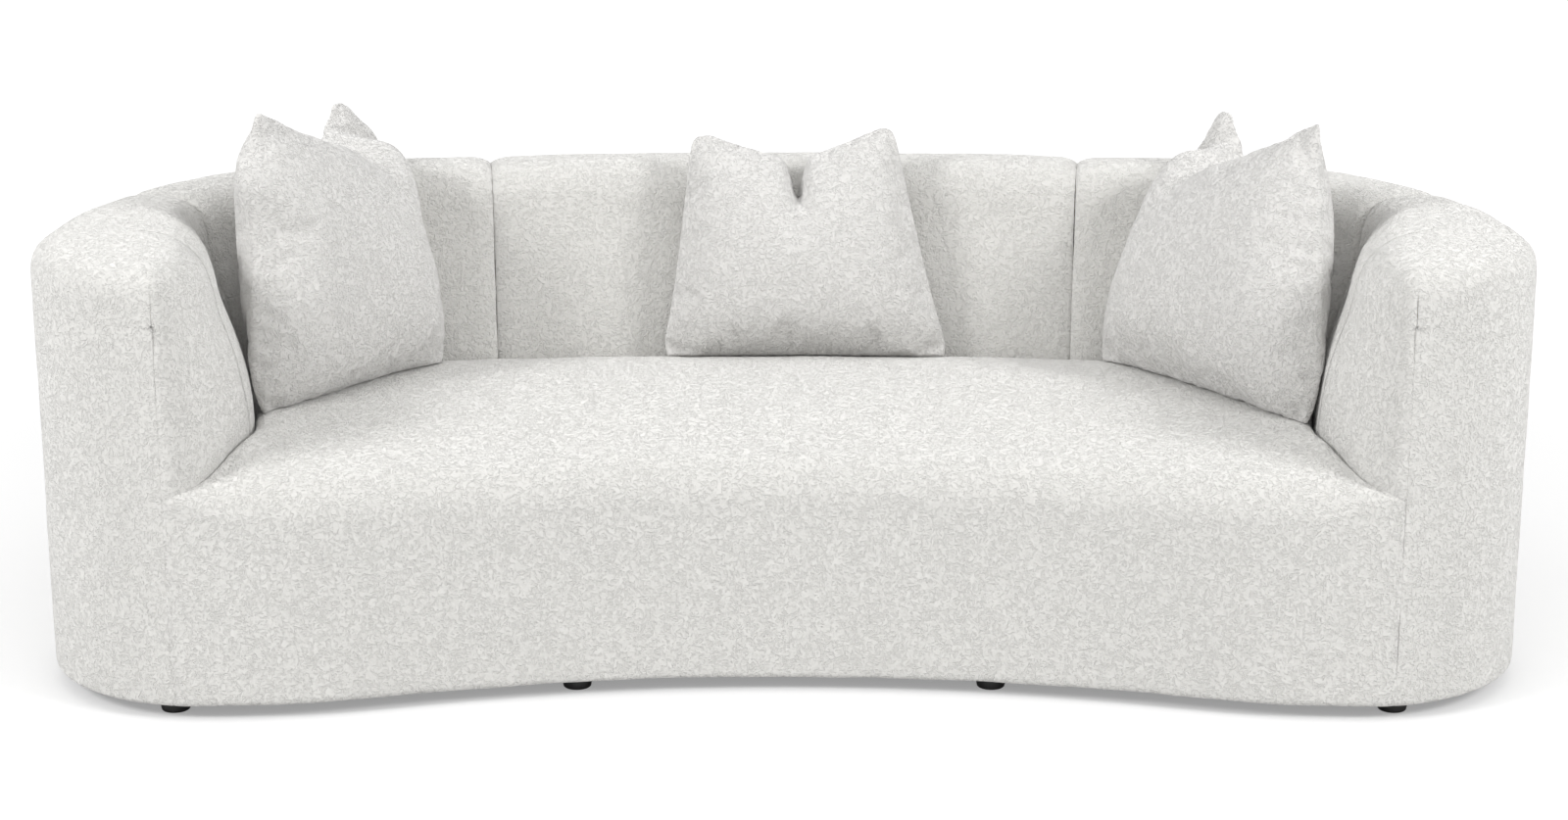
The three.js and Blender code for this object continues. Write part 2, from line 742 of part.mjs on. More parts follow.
// Tee nuts: pressed into the ring from above, one over each foot
const nutFlangeRadius = 10;
const nutFlange = 1.6;
const nutBarrelDepth = 12;
const nutBite = 0.5;
const nutProfile = [
  [boltRadius + gap, -nutBarrelDepth],
  [nutBarrelRadius + nutBite, -nutBarrelDepth],
  [nutBarrelRadius + nutBite, -nutBite],
  [nutFlangeRadius, -nutBite],
  [nutFlangeRadius, nutFlange],
  [boltRadius + gap, nutFlange],
  [boltRadius + gap, -nutBarrelDepth],
].map(([x, y]) => new THREE.Vector2(x, y));
const nuts = footSpots.map((spot) => turned(nutProfile, boreSides).translate(spot.x, spot.y, ringTop));
const ringInset = hemRound + gap + chordRoom;
const ringHoles = [planOutline(ringInset + ringWidth), ...footSpots.map((spot) => circleAt(spot, nutBarrelRadius))];
const ringPlate = plate(planOutline(ringInset), ringBottom, ringTop, ringHoles);
addPiece('bottom_ring', joined([ringPlate, ...nuts]), 'plywood');

// Dust cover: black cloth stapled under the bottom ring, with a hole for each bolt

const boltHoles = footSpots.map((spot) => circleAt(spot, boltRadius + gap));
addPiece('dust_cover', plate(planOutline(ringInset), dustBottom, dustBottom + dustThickness, boltHoles), 'blackCloth');

// Feet: turned round, each with the bolt that is screwed into it and hangs it on the ring

const footTopRadius = 28;
const footBottomRadius = 24;
const footEdge = 5;
const footSides = 12;
const boltStandOut = 6;

const footProfile = [
  [0, 0],
  [footBottomRadius - footEdge, 0],
  [footBottomRadius, footEdge],
  [footTopRadius, footHeight],
  [boltRadius, footHeight],
  [boltRadius, ringTop + boltStandOut],
  [0, ringTop + boltStandOut],
].map(([x, y]) => new THREE.Vector2(x, y));
const footNames = [
  'right_front_inner_foot', 'left_front_inner_foot', 'right_front_outer_foot', 'left_front_outer_foot',
  'right_back_inner_foot', 'left_back_inner_foot', 'right_back_outer_foot', 'left_back_outer_foot',
];

footNames.forEach((name, i) => {
  const foot = addPiece(name, turned(footProfile, footSides), 'blackFoot');
  foot.position.set(footSpots[i].x, footSpots[i].y, 0);
});

// Front of the frame: a bent fascia, posts behind it and stretchers from front to back

const frontSpread = noseSeamX - seatRingWidth / 2;
const noseColumnShares = innerNoseShares.slice(1);
const columnCount = noseColumnShares.length + wallStops.length - 1;
const frontXs = [noseSeamX - halfSeam, ...evenly(frontSpread, 0, columnCount - 2)];
const fasciaInset = boardInset + apronThickness + gap;

// A band that follows the front between two insets, out to a reach on both sides.
function frontBand(outerInset, innerInset, reach, bottom, top) {
  const outer = frontLine(reach, outerInset);
  const inner = frontLine(reach, innerInset);
  return plate([...outer, ...inner.reverse()], bottom, top);
}

// The front outline from a reach on the left to the same reach on the right.
function frontLine(reach, inset) {
  const right = [...frontXs.filter((x) => x < reach - gap).reverse(), reach].map((x) => frontPoint(x, inset));
  return [...acrossMiddle(right).reverse().slice(0, -1), ...right];
}

addPiece(
  'front_fascia',
  frontBand(fasciaInset, fasciaInset + fasciaThickness, frontSpread, ringTop + gap, seatRingBottom - gap),
  'plywood',
);

const postDepth = 60;
const postXs = [175, 640];
const postInset = fasciaInset + fasciaThickness + gap;
postXs.flatMap((x) => [['right', x], ['left', -x]]).forEach(([side, x]) => {
  const front = Math.max(...[-1, 1].map((edge) => frontPoint(x + (edge * plyThickness) / 2, postInset).y));
  const height = seatRingBottom - ringTop - gap - gap;
  const post = addPiece(
    `${side}_front_post_${postXs.indexOf(Math.abs(x)) + 1}`,
    new THREE.BoxGeometry(plyThickness, postDepth, height),
    'plywood',
  );
  post.position.set(x, front + postDepth / 2, ringTop + gap + height / 2);
});

const stretcherRunShare = 0.255;
const stretcherX = wallRun * stretcherRunShare;
const stretcherHeight = 80;
[['right', 1], ['left', -1]].forEach(([side, sign]) => {
  const front = frontPoint(stretcherX, postInset + plyThickness).y;
  const back = backCentreY + Math.sqrt((backRadius - frameInset - plyThickness) ** 2 - stretcherX ** 2);
  const stretcher = addPiece(
    `${side}_stretcher`,
    new THREE.BoxGeometry(plyThickness, back - front, stretcherHeight),
    'plywood',
  );
  stretcher.position.set(sign * stretcherX, (front + back) / 2, ringTop + gap + stretcherHeight / 2);
});

// Seat ring: the plywood level that the springs are clipped to

const seatRingFrontWidth = 90;
const seatRingSide = frontSpread;

// The inner side of the wall at an inset behind the face, from the right arm end round to the left one.
function innerWallLine(behindFace) {
  const right = wallStops.map((stop) => {
    const { crown, inward, inner } = wallStation(stop);
    return crown.clone().addScaledVector(inward, inner.half - behindFace);
  });
  return [...right, ...acrossMiddle(right).reverse().slice(1)];
}

const ringBehind = padFoamThickness - gap;
const seatRingOuter = [...frontLine(seatRingSide, fasciaInset), ...innerWallLine(ringBehind)];
const seatRingInner = [
  ...frontLine(seatRingSide - seatRingWidth, fasciaInset + seatRingFrontWidth),
  ...innerWallLine(ringBehind - seatRingWidth),
];
const seatRingPlate = plate(seatRingOuter, seatRingBottom, seatRingTop, [seatRingInner]);

// Springs: sinuous wires from the front of the seat ring to its back, held in clips at both ends

const springPitch = 150;
const springCount = 11;
const springSwing = 24;
const springTurns = 12;
const clipWidth = 30;
const clipReach = 16;
const clipBite = 0.5;
const wireSides = 4;
const searchSteps = 40;

// The place on the inner side of the right half wall whose x is given.
function innerWallY(x, behindFace) {
  let [low, high] = [0, wallRun];
  for (let step = 0; step < searchSteps; step += 1) {
    const middle = (low + high) / 2;
    const { crown, inward, inner } = wallStation(middle);
    if (crown.x + inward.x * (inner.half - behindFace) < Math.abs(x)) low = middle;
    else high = middle;
  }
  const { crown, inward, inner } = wallStation(low);
  return crown.y + inward.y * (inner.half - behindFace);
}

// A round wire along points that lie nearly level, mitred at each point.
function wire(points, radius) {
  const sections = points.map((point, i) => {
    const before = points[Math.max(i - 1, 0)];
    const after = points[Math.min(i + 1, points.length - 1)];
    const into = point.clone().sub(before).setZ(0).normalize();
    const out = after.clone().sub(point).setZ(0).normalize();
    const along = into.clone().add(out).normalize();
    const sideways = new THREE.Vector3(along.y, -along.x, 0);
    const stretch = 1 / Math.max(along.dot(into.lengthSq() > 0 ? into : out), Math.SQRT1_2);
    return shares(wireSides).slice(1).map((share) => {
      const turn = share * 2 * Math.PI;
      const offset = sideways.clone().multiplyScalar(radius * stretch * Math.cos(turn));
      return point.clone().add(offset).add(new THREE.Vector3(0, 0, radius * Math.sin(turn)));
    });
  });
  return new Loft().row(sections).geometry();
}

const springXs = Array.from({ length: springCount }, (_, i) => (i - (springCount - 1) / 2) * springPitch);

function springEnds(x) {
  const front = frontPoint(x, fasciaInset + seatRingFrontWidth / 2).y;
  const back = innerWallY(x, ringBehind - seatRingWidth / 2);
  return [front, back];
}

const springHeight = (share) => springEndHeight + springRise * Math.sin(Math.PI * share);

const turnShares = [0.22, 0.78];

// A straight bar lies in each clip, and rounded turns swing from side to side between them.
function springPoints(x) {
  const [front, back] = springEnds(x);
  const points = [new THREE.Vector3(x + springSwing, front, springEndHeight)];
  for (let turn = 0; turn < springTurns; turn += 1) {
    const side = turn % 2 === 0 ? -1 : 1;
    turnShares.forEach((share) => {
      const along = (turn + share) / springTurns;
      points.push(new THREE.Vector3(x + side * springSwing, mix(front, back, along), springHeight(along)));
    });
  }
  const lastSide = springTurns % 2 === 0 ? -1 : 1;
  points.push(new THREE.Vector3(x + lastSide * springSwing, back, springEndHeight));
  return points;
}

// A clip is a folded strip: a plate on the ring, an upright behind the wire and a lip over it.
function clip(y, facing, x) {
  const bottom = seatRingTop - clipBite;
  const lipBottom = springEndHeight + wireRadius + gap;
  const wall = wireRadius + gap;
  const outline = [
    [-wall - clipSheet, bottom],
    [clipReach, bottom],
    [clipReach, seatRingTop + gap + clipSheet],
    [-wall, seatRingTop + gap + clipSheet],
    [-wall, lipBottom],
    [wall + clipSheet, lipBottom],
    [wall + clipSheet, lipBottom + clipSheet],
    [-wall - clipSheet, lipBottom + clipSheet],
  ].map(([across, height]) => new THREE.Vector2(across, height));
  const shape = new THREE.Shape(outline);
  const strip = new THREE.ExtrudeGeometry(shape, { depth: clipWidth, bevelEnabled: false });
  strip.translate(0, 0, -clipWidth / 2).rotateX(Math.PI / 2).rotateZ((facing * Math.PI) / 2);
  return welded(strip.translate(x, y, 0));
}

const clips = springXs.flatMap((x) => [clip(springEnds(x)[0], 1, x), clip(springEnds(x)[1], -1, x)]);
addPiece('seat_ring', joined([seatRingPlate, ...clips]), 'plywood');

// Spring set: the springs and the tie wires that are hooked across them

const tieRadius = 1.5;
const tieShares = [0.36, 0.64];
const tiePoints = (along) => springXs.map((x) => {
  const [front, back] = springEnds(x);
  const height = springHeight(along) - wireRadius;
  return new THREE.Vector3(x, mix(front, back, along), height);
});
const springWires = springXs.map((x) => wire(springPoints(x), wireRadius));
const ties = tieShares.map((along) => wire(tiePoints(along), tieRadius));
addPiece('seat_springs', joined([...springWires, ...ties]), 'springSteel');

// Deck cloth: a firm cloth over the springs, under the seat foam

const deckMargin = 12;
const deckOutline = [
  ...frontLine(seatRingSide - seatRingWidth, fasciaInset + deckMargin),
  ...innerWallLine(-deckMargin),
];
addPiece('deck_cloth', plate(deckOutline, deckTop - deckThickness, deckTop), 'blackCloth');

// Seat: columns run from the walls to the front edge, fanned round the arm noses

const frontRoundShares = shares(4);
const seatTopShares = [0.06, 0.3, 0.6, 0.85];
const crownForwardPower = 0.8;
const seatClear = 1;
const fullColumn = 260;

// The foot of the wall face beside the seat, from the nose seam to the middle of the back.
function wallFoot(column, inset) {
  const noseCount = noseColumnShares.length;
  if (column < noseCount) {
    const { crown, direction, section } = innerNose(noseColumnShares[column]);
    return place(crown, direction, section.half + seatClear + inset, 0);
  }
  const { crown, inward, inner } = wallStation(wallStops[column - noseCount + 1]);
  return place(crown, inward, inner.half + seatClear + inset, 0);
}

// The seat's upper line in one column, moved inwards, from behind the wall's foot over the front edge.
function seatLine(column, inset, rearBottom, frontBottom) {
  const edgePoint = frontPoint(frontXs[column], inset);
  const front = new THREE.Vector3(edgePoint.x, edgePoint.y, 0);
  const foot = wallFoot(column, inset);
  const length = foot.distanceTo(front);
  const share = THREE.MathUtils.smoothstep(length, 0, fullColumn);
  const edge = seatHeight - tipDrop * (1 - share) - inset;
  const run = Math.min(frontRoundRun, length / 2);
  const drop = mix(tipRoundDrop, frontRoundDrop, share);
  const start = front.clone().lerp(foot, run / length);
  const top = (point, crown) => point.clone().setZ(edge + seatCrown * share * crown);
  return [
    foot.clone().setZ(rearBottom),
    foot.clone().setZ(edge - coverThickness),
    ...seatTopShares.map((along) => top(foot.clone().lerp(start, along), Math.sin(Math.PI * along ** crownForwardPower))),
    ...frontRoundShares.map((turnShare) => {
      const turn = (turnShare * Math.PI) / 2;
      const point = start.clone().lerp(front, Math.sin(turn));
      return point.setZ(edge - drop * (1 - Math.cos(turn)));
    }),
    front.clone().setZ(frontBottom),
  ];
}

function bothSides(half) {
  const left = half.slice(0, -1).map((section) => section.map((p) => new THREE.Vector3(-p.x, p.y, p.z)));
  return [...half, ...left.reverse()];
}

const coverTuck = seatHeight - tipDrop - padTuck;
const seatCoverColumns = shares(columnCount - 1).map((_, column) => {
  const skin = seatLine(column, 0, coverTuck, hemHeight);
  const back = seatLine(column, coverThickness, coverTuck, hemHeight);
  return [...skin, ...back.reverse()];
});
const seatCover = addPiece('seat_cover', new Loft().row(bothSides(seatCoverColumns)).geometry(), 'boucle');

const foamFloor = deckTop + gap;
const firstFoamColumn = 3;
const seatFoamColumns = shares(columnCount - 1).map((_, column) =>
  seatLine(column, coverThickness + gap, foamFloor, foamFloor),
);
addPiece('seat_foam', new Loft().row(bothSides(seatFoamColumns.slice(firstFoamColumn))).geometry(), 'foam');

addPiece(
  'apron_padding',
  frontBand(boardInset, boardInset + apronThickness, frontSpread, ringTop + gap, foamFloor - gap),
  'foam',
);

// Back webbing: elastic bands across the ribs behind the pads, each behind one flat stretch of the pads' backs

const webMarginShare = 0.1;
const webbing = [{ name: 'upper_back_webbing', stretch: 0 }, { name: 'lower_back_webbing', stretch: 2 }];

webbing.forEach(({ name, stretch }) => {
  const sections = [...wallStops, ...wallStops.slice(0, -1).reverse().map((stop) => -stop)].map((stop) => {
    const { crown, inward, inner } = wallStation(stop);
    const padBack = padFoamThickness + gap;
    const rollEnd = [inner.half - inner.lean - padBack, wallHeight - inner.drop];
    const [high, low] = [rollEnd, ...faceLine(inner, padBack)].slice(stretch, stretch + 2);
    const face = [webMarginShare, 1 - webMarginShare].map((at) => [mix(high[0], low[0], at), mix(high[1], low[1], at)]);
    const back = face.map(([across, height]) => [across - webThickness, height]).reverse();
    return onSection(crown, inward, [...face, ...back]);
  });
  addPiece(name, new Loft().row(sections).geometry(), 'webbing');
});

// Throw pillows: knife-edged, with drawn-in sides, pointed corners and a chop that folds the top edge down

const pillowShares = shares(14).map((share) => 2 * share - 1);
const pillowClear = 0.8;
const earPower = 6;
const plumpPower = 2.3;
const plumpShare = 0.5;
const settleShare = 0.05;
const bowSettleShare = 0.5;
const creasePower = 3;
const down = new THREE.Vector3(0, 0, -1);

// Corners as they lie, from the left to the right as the front faces the viewer: the lower two on the seat, each
// [across, forward], and the upper two [across, forward, above the seat]. Across is counted from the reach given
// as from, the way that side points, and forward from the back of the sofa.
const leftPillow = {
  name: 'left_pillow', from: -sideX,
  lowLeft: [353, 795], lowRight: [634, 393], highLeft: [370, 740, 540], highRight: [433, 225, 478],
  frontSwell: 126, backSwell: 112, bowShare: 0.08, earRise: 14,
  chopDepth: 66, chopAtShare: 0.42, chopWidthShares: [1.42, 0.36], chopLengthPower: 3, creaseShare: 0.35,
};
const rightPillow = {
  name: 'right_pillow', from: sideX,
  lowLeft: [-676, 364], lowRight: [-363, 880], highLeft: [-443, 225, 467], highRight: [-343, 740, 519],
  frontSwell: 126, backSwell: 108, bowShare: 0.06, earRise: 14,
  chopDepth: 88, chopAtShare: -0.42, chopWidthShares: [0.36, 1.42], chopLengthPower: 3, creaseShare: 0.35,
};
const centrePillow = {
  name: 'center_pillow', from: 0,
  lowLeft: [-235, 340], lowRight: [318, 340], highLeft: [-168, 238, 410], highRight: [208, 232, 428],
  frontSwell: 112, backSwell: 24, bowShare: 0, earRise: 30,
  chopDepth: 64, chopAtShare: 0.03, chopWidthShares: [0.3, 0.3], chopLengthPower: 4, creaseShare: 0.6,
};

function seatTopAt(point) {
  const ray = new THREE.Raycaster(new THREE.Vector3(point.x, point.y, wallHeight), down);
  const [hit] = ray.intersectObject(seatCover);
  return hit ? hit.point.z : seatHeight;
}

// One side of a pillow: rows of points from the lower edge up, swelled out of the sheet between the corners.
function pillowSide(pillow, swell, crease) {
  const corner = ([across, forward, above]) => {
    const point = new THREE.Vector3(pillow.from + across, backY - forward, 0);
    return point.setZ(above === undefined ? seatTopAt(point) + pillowClear : seatHeight + above);
  };
  const [lowLeft, lowRight, highLeft, highRight] =
    [pillow.lowLeft, pillow.lowRight, pillow.highLeft, pillow.highRight].map(corner);
  const [leftWidth, rightWidth] = pillow.chopWidthShares;
  return pillowShares.map((v) => pillowShares.map((u) => {
    const bow = pillow.bowShare * (1 - v * v) * (1 - bowSettleShare * v);
    const across = (u * (1 + bow) + 1) / 2;
    const up = (v + 1) / 2;
    const low = lowLeft.clone().lerp(lowRight, across);
    const high = highLeft.clone().lerp(highRight, across);
    const facing = lowRight.clone().sub(lowLeft).lerp(highRight.clone().sub(highLeft), up);
    facing.cross(high.clone().sub(low)).normalize();
    const fromChop = u - pillow.chopAtShare;
    const fold = Math.max(0, 1 - Math.abs(fromChop) / (fromChop < 0 ? leftWidth : rightWidth));
    const plump = (1 - Math.abs(u) ** plumpPower) * (1 - Math.abs(v) ** plumpPower);
    const full = plump ** plumpShare * (1 - settleShare * v);
    const creased = 1 - crease * fold ** creasePower * up ** 2;
    const point = low.lerp(high, up).addScaledVector(facing, swell * full * creased);
    point.z -= pillow.chopDepth * fold * up ** pillow.chopLengthPower;
    point.z -= pillow.earRise * (1 - u ** earPower) * up ** earPower;
    point.z = Math.max(point.z, seatTopAt(point) + pillowClear);
    return point;
  }));
}

[leftPillow, centrePillow, rightPillow].forEach((pillow) => {
  const loft = new Loft();
  const front = pillowSide(pillow, pillow.frontSwell, pillow.creaseShare);
  const back = pillowSide(pillow, -pillow.backSwell, 0);
  for (let i = 0; i + 1 < front.length; i += 1) {
    loft.strip(front[i], front[i + 1]);
    loft.strip(back[i + 1], back[i]);
  }
  addPiece(pillow.name, loft.geometry(), 'boucle');
});

export default sofa;
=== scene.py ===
import math

import bmesh
import bpy
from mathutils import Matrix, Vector, noise
from mathutils.bvhtree import BVHTree


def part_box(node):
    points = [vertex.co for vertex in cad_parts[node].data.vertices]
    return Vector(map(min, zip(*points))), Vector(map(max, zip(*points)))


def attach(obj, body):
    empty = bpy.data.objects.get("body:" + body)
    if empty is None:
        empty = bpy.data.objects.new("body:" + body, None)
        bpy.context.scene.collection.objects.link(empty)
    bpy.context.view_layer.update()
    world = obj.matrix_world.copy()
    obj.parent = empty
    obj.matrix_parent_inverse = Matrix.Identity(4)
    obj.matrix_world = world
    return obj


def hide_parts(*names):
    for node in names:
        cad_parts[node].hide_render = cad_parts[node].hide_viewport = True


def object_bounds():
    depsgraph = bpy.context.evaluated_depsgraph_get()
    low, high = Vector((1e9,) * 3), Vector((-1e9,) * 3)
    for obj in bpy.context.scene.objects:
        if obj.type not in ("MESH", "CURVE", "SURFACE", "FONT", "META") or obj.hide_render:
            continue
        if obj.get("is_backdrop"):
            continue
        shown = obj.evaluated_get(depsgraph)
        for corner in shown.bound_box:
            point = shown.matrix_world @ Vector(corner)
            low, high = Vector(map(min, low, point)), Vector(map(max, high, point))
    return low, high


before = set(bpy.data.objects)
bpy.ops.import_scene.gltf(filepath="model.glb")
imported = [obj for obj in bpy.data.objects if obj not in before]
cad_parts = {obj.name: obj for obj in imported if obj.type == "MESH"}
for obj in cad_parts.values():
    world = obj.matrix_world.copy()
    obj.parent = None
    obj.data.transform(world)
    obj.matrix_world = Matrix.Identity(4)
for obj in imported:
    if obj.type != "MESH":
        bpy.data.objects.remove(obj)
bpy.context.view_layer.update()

# Camera and studio.
# The camera stands 4.65 m in front of the feet at eye height and looks down a little. The room is a white
# floor that runs on to the horizon, with soft lights from the left front, the right front and above.
camera_data = bpy.data.cameras.new("camera")
camera_data.sensor_width = 36.0
camera_data.lens = 67.5
camera = bpy.data.objects.new("camera", camera_data)
camera.location = (0.0, -5.2, 1.775)
camera.rotation_euler = (math.radians(75.0), 0.0, 0.0)
bpy.context.scene.collection.objects.link(camera)
bpy.context.scene.camera = camera
bpy.context.scene.view_settings.view_transform = "Standard"

white = (1.0, 1.0, 1.0, 1.0)


def new_material(name):
    """A material with its node tree and its shader."""
    material = bpy.data.materials.new(name)
    material.use_nodes = True
    return material, material.node_tree, material.node_tree.nodes["Principled BSDF"]


def give(tree, node, given):
    """Links or sets each of the named inputs of a node."""
    for socket, value in given.items():
        if isinstance(value, bpy.types.NodeSocket):
            tree.links.new(value, node.inputs[socket])
        else:
            node.inputs[socket].default_value = value


def linked(tree, kind, given, **settings):
    """A node with its settings, and each of its inputs either linked or set."""
    node = tree.nodes.new(kind)
    for setting, value in settings.items():
        setattr(node, setting, value)
    give(tree, node, given)
    return node


def shaped(name, shape, material):
    """A finished mesh object from a bmesh, smooth all over."""
    for face in shape.faces:
        face.smooth = True
    mesh = bpy.data.meshes.new(name)
    shape.to_mesh(mesh)
    shape.free()
    mesh.materials.append(material)
    piece = bpy.data.objects.new(name, mesh)
    bpy.context.scene.collection.objects.link(piece)
    return piece


# The floor glows a little to the camera, more so further out, so that it stays white beyond the lights.
floor_material, tree, shader = new_material("studio floor")
place = linked(tree, "ShaderNodeTexCoord", {})
away = linked(tree, "ShaderNodeVectorMath", {0: place.outputs["Object"]}, operation="LENGTH")
far = linked(tree, "ShaderNodeMapRange", {
    "Value": away.outputs["Value"], "From Min": 1.3, "From Max": 4.0, "To Min": 0.3, "To Max": 0.62,
})
seen = linked(tree, "ShaderNodeLightPath", {})
glow = linked(tree, "ShaderNodeMapRange", {
    "Value": seen.outputs["Is Camera Ray"], "To Min": 0.04, "To Max": far.outputs["Result"],
})
give(tree, shader, {
    "Base Color": (0.7, 0.7, 0.7, 1.0), "Roughness": 0.9, "Specular IOR Level": 0.0,
    "Emission Color": white, "Emission Strength": glow.outputs["Result"],
})
floor_shape = bmesh.new()
bmesh.ops.create_circle(floor_shape, cap_ends=True, radius=60.0, segments=96)
floor = shaped("studio_floor", floor_shape, floor_material)
floor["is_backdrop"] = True

# The sky is white to the camera, and dimmer as a light.
world = bpy.data.worlds.new("studio")
world.use_nodes = True
bpy.context.scene.world = world
sky = world.node_tree
seen = linked(sky, "ShaderNodeLightPath", {})
sky_strength = linked(sky, "ShaderNodeMapRange", {"Value": seen.outputs["Is Camera Ray"], "To Min": 0.6})
give(sky, sky.nodes["Background"], {"Color": white, "Strength": sky_strength.outputs["Result"]})

for light_name, place, aim, width, power in (
    ("left_soft_light", (-3.7, -2.8, 3.0), (0.2, 0.2, 0.5), 1.2, 102.0),
    ("right_soft_light", (3.7, -2.8, 3.0), (-0.2, 0.2, 0.5), 1.2, 102.0),
    ("top_soft_light", (0.0, -1.0, 4.2), (0.0, 0.0, 0.4), 3.0, 32.0),
):
    light_data = bpy.data.lights.new(light_name, "AREA")
    light_data.size = width
    light_data.energy = power
    light = bpy.data.objects.new(light_name, light_data)
    light.location = place
    light.rotation_euler = (Vector(aim) - Vector(place)).to_track_quat("-Z", "Y").to_euler()
    bpy.context.scene.collection.objects.link(light)

# Plywood frame.
# Two rings cut from 18 mm birch plywood, a rail on top, and ribs, formers, posts and stretchers between them,
# glued and screwed. The faces show a fine grain along the sheet, and the sawn edges show the plies.


def new_group(name, sockets):
    """An empty shader group with its sockets, each given as its name, its direction and its kind."""
    group = bpy.data.node_groups.new(name, "ShaderNodeTree")
    for socket, direction, kind in sockets:
        group.interface.new_socket(name=socket, in_out=direction, socket_type=f"NodeSocket{kind}")
    return group


plies = new_group("plywood grain", (
    ("Through", "INPUT", "Vector"), ("Color", "OUTPUT", "Color"), ("Roughness", "OUTPUT", "Float"),
    ("Height", "OUTPUT", "Float"),
))
ply_radians_per_metre = 2244.0


def blended(tree, factor, first, second):
    """A colour between two colours, by a factor."""
    mixed = linked(tree, "ShaderNodeMix", {"Factor": factor, "A": first, "B": second}, data_type="RGBA")
    return mixed.outputs["Result"]


def relief(tree, height, strength, distance):
    """The normal of a surface whose relief is given as a height."""
    bump = linked(tree, "ShaderNodeBump", {"Height": height, "Strength": strength, "Distance": distance})
    return bump.outputs["Normal"]


def fill_plies(tree):
    """Streaked grain on the faces, and pale and dark plies of 1.4 mm on whatever faces across the sheet."""
    given, result = tree.nodes.new("NodeGroupInput"), tree.nodes.new("NodeGroupOutput")
    where = linked(tree, "ShaderNodeTexCoord", {}).outputs["Object"]
    facing = linked(tree, "ShaderNodeNewGeometry", {}).outputs["True Normal"]
    stretched = linked(tree, "ShaderNodeMapping", {"Vector": where, "Scale": (6.0, 60.0, 22.0)})
    grain = linked(tree, "ShaderNodeTexNoise", {
        "Vector": stretched.outputs["Vector"], "Scale": 1.6, "Detail": 6.0, "Roughness": 0.62, "Distortion": 0.7,
    }).outputs["Fac"]
    face = blended(tree, grain, (0.66, 0.49, 0.30, 1.0), (0.84, 0.71, 0.51, 1.0))

    def along_sheet(vector):
        dot = linked(tree, "ShaderNodeVectorMath", {0: vector, 1: given.outputs["Through"]}, operation="DOT_PRODUCT")
        return dot.outputs["Value"]

    turns = linked(tree, "ShaderNodeMath", {0: along_sheet(where), 1: ply_radians_per_metre}, operation="MULTIPLY")
    wave = linked(tree, "ShaderNodeMath", {0: turns.outputs[0]}, operation="SINE")
    ply = linked(tree, "ShaderNodeMapRange", {"Value": wave.outputs[0], "From Min": -0.35, "From Max": 0.35})
    edge = blended(tree, ply.outputs["Result"], (0.42, 0.27, 0.14, 1.0), (0.72, 0.55, 0.34, 1.0))
    square = linked(tree, "ShaderNodeMath", {0: along_sheet(facing)}, operation="ABSOLUTE")
    on_face = linked(tree, "ShaderNodeMapRange", {"Value": square.outputs[0], "From Min": 0.55, "From Max": 0.75})
    rough = linked(tree, "ShaderNodeMapRange", {"Value": grain, "To Min": 0.72, "To Max": 0.56})
    color = blended(tree, on_face.outputs["Result"], edge, face)
    give(tree, result, {"Color": color, "Roughness": rough.outputs["Result"], "Height": grain})


fill_plies(plies)

for node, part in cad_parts.items():
    if [used.material.name for used in part.material_slots] != ["plywood"]:
        continue
    sheet_face = max(part.data.polygons, key=lambda polygon: polygon.area).normal
    through = (0.0, 0.0, 1.0) if abs(sheet_face.z) > 0.7 else tuple(sheet_face)
    material, tree, shader = new_material(f"birch plywood {node}")
    sawn = linked(tree, "ShaderNodeGroup", {}, node_tree=plies)
    give(tree, sawn, {"Through": through})
    give(tree, shader, {
        "Base Color": sawn.outputs["Color"], "Roughness": sawn.outputs["Roughness"],
        "Normal": relief(tree, sawn.outputs["Height"], 0.35, 0.0006),
    })
    part.material_slots[0].material = material

# Outside board.
# One thin fibreboard bent round the ribs and stapled to them, rough side in. Pressed fibres make it a dull
# brown with fine light and dark flecks.
material, tree, shader = new_material("bent fibreboard")
where = linked(tree, "ShaderNodeTexCoord", {}).outputs["Object"]
flecks = linked(tree, "ShaderNodeTexNoise", {"Vector": where, "Scale": 420.0, "Detail": 5.0, "Roughness": 0.7})
drift = linked(tree, "ShaderNodeTexNoise", {"Vector": where, "Scale": 9.0, "Detail": 3.0})
both = linked(tree, "ShaderNodeMath", {0: flecks.outputs["Fac"], 1: drift.outputs["Fac"]}, operation="MULTIPLY")
pale = linked(tree, "ShaderNodeMapRange", {"Value": both.outputs[0], "From Min": 0.12, "From Max": 0.4})
give(tree, shader, {
    "Base Color": blended(tree, pale.outputs["Result"], (0.23, 0.16, 0.09, 1.0), (0.43, 0.33, 0.21, 1.0)),
    "Roughness": 0.82, "Normal": relief(tree, flecks.outputs["Fac"], 0.4, 0.0005),
})
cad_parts["outside_board"].material_slots[0].material = material

# Springs.
# Eleven sinuous springs of oiled steel wire, hooked into clips on the seat ring, with two tie wires across.
# The oil leaves the wire dark and unevenly bright.
material, tree, shader = new_material("oiled spring wire")
where = linked(tree, "ShaderNodeTexCoord", {}).outputs["Object"]
oil = linked(tree, "ShaderNodeTexNoise", {"Vector": where, "Scale": 90.0, "Detail": 4.0, "Roughness": 0.6})
rough = linked(tree, "ShaderNodeMapRange", {"Value": oil.outputs["Fac"], "To Min": 0.5, "To Max": 0.26})
give(tree, shader, {
    "Base Color": blended(tree, oil.outputs["Fac"], (0.10, 0.10, 0.11, 1.0), (0.34, 0.35, 0.37, 1.0)),
    "Roughness": rough.outputs["Result"], "Metallic": 1.0,
})
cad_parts["seat_springs"].material_slots[0].material = material

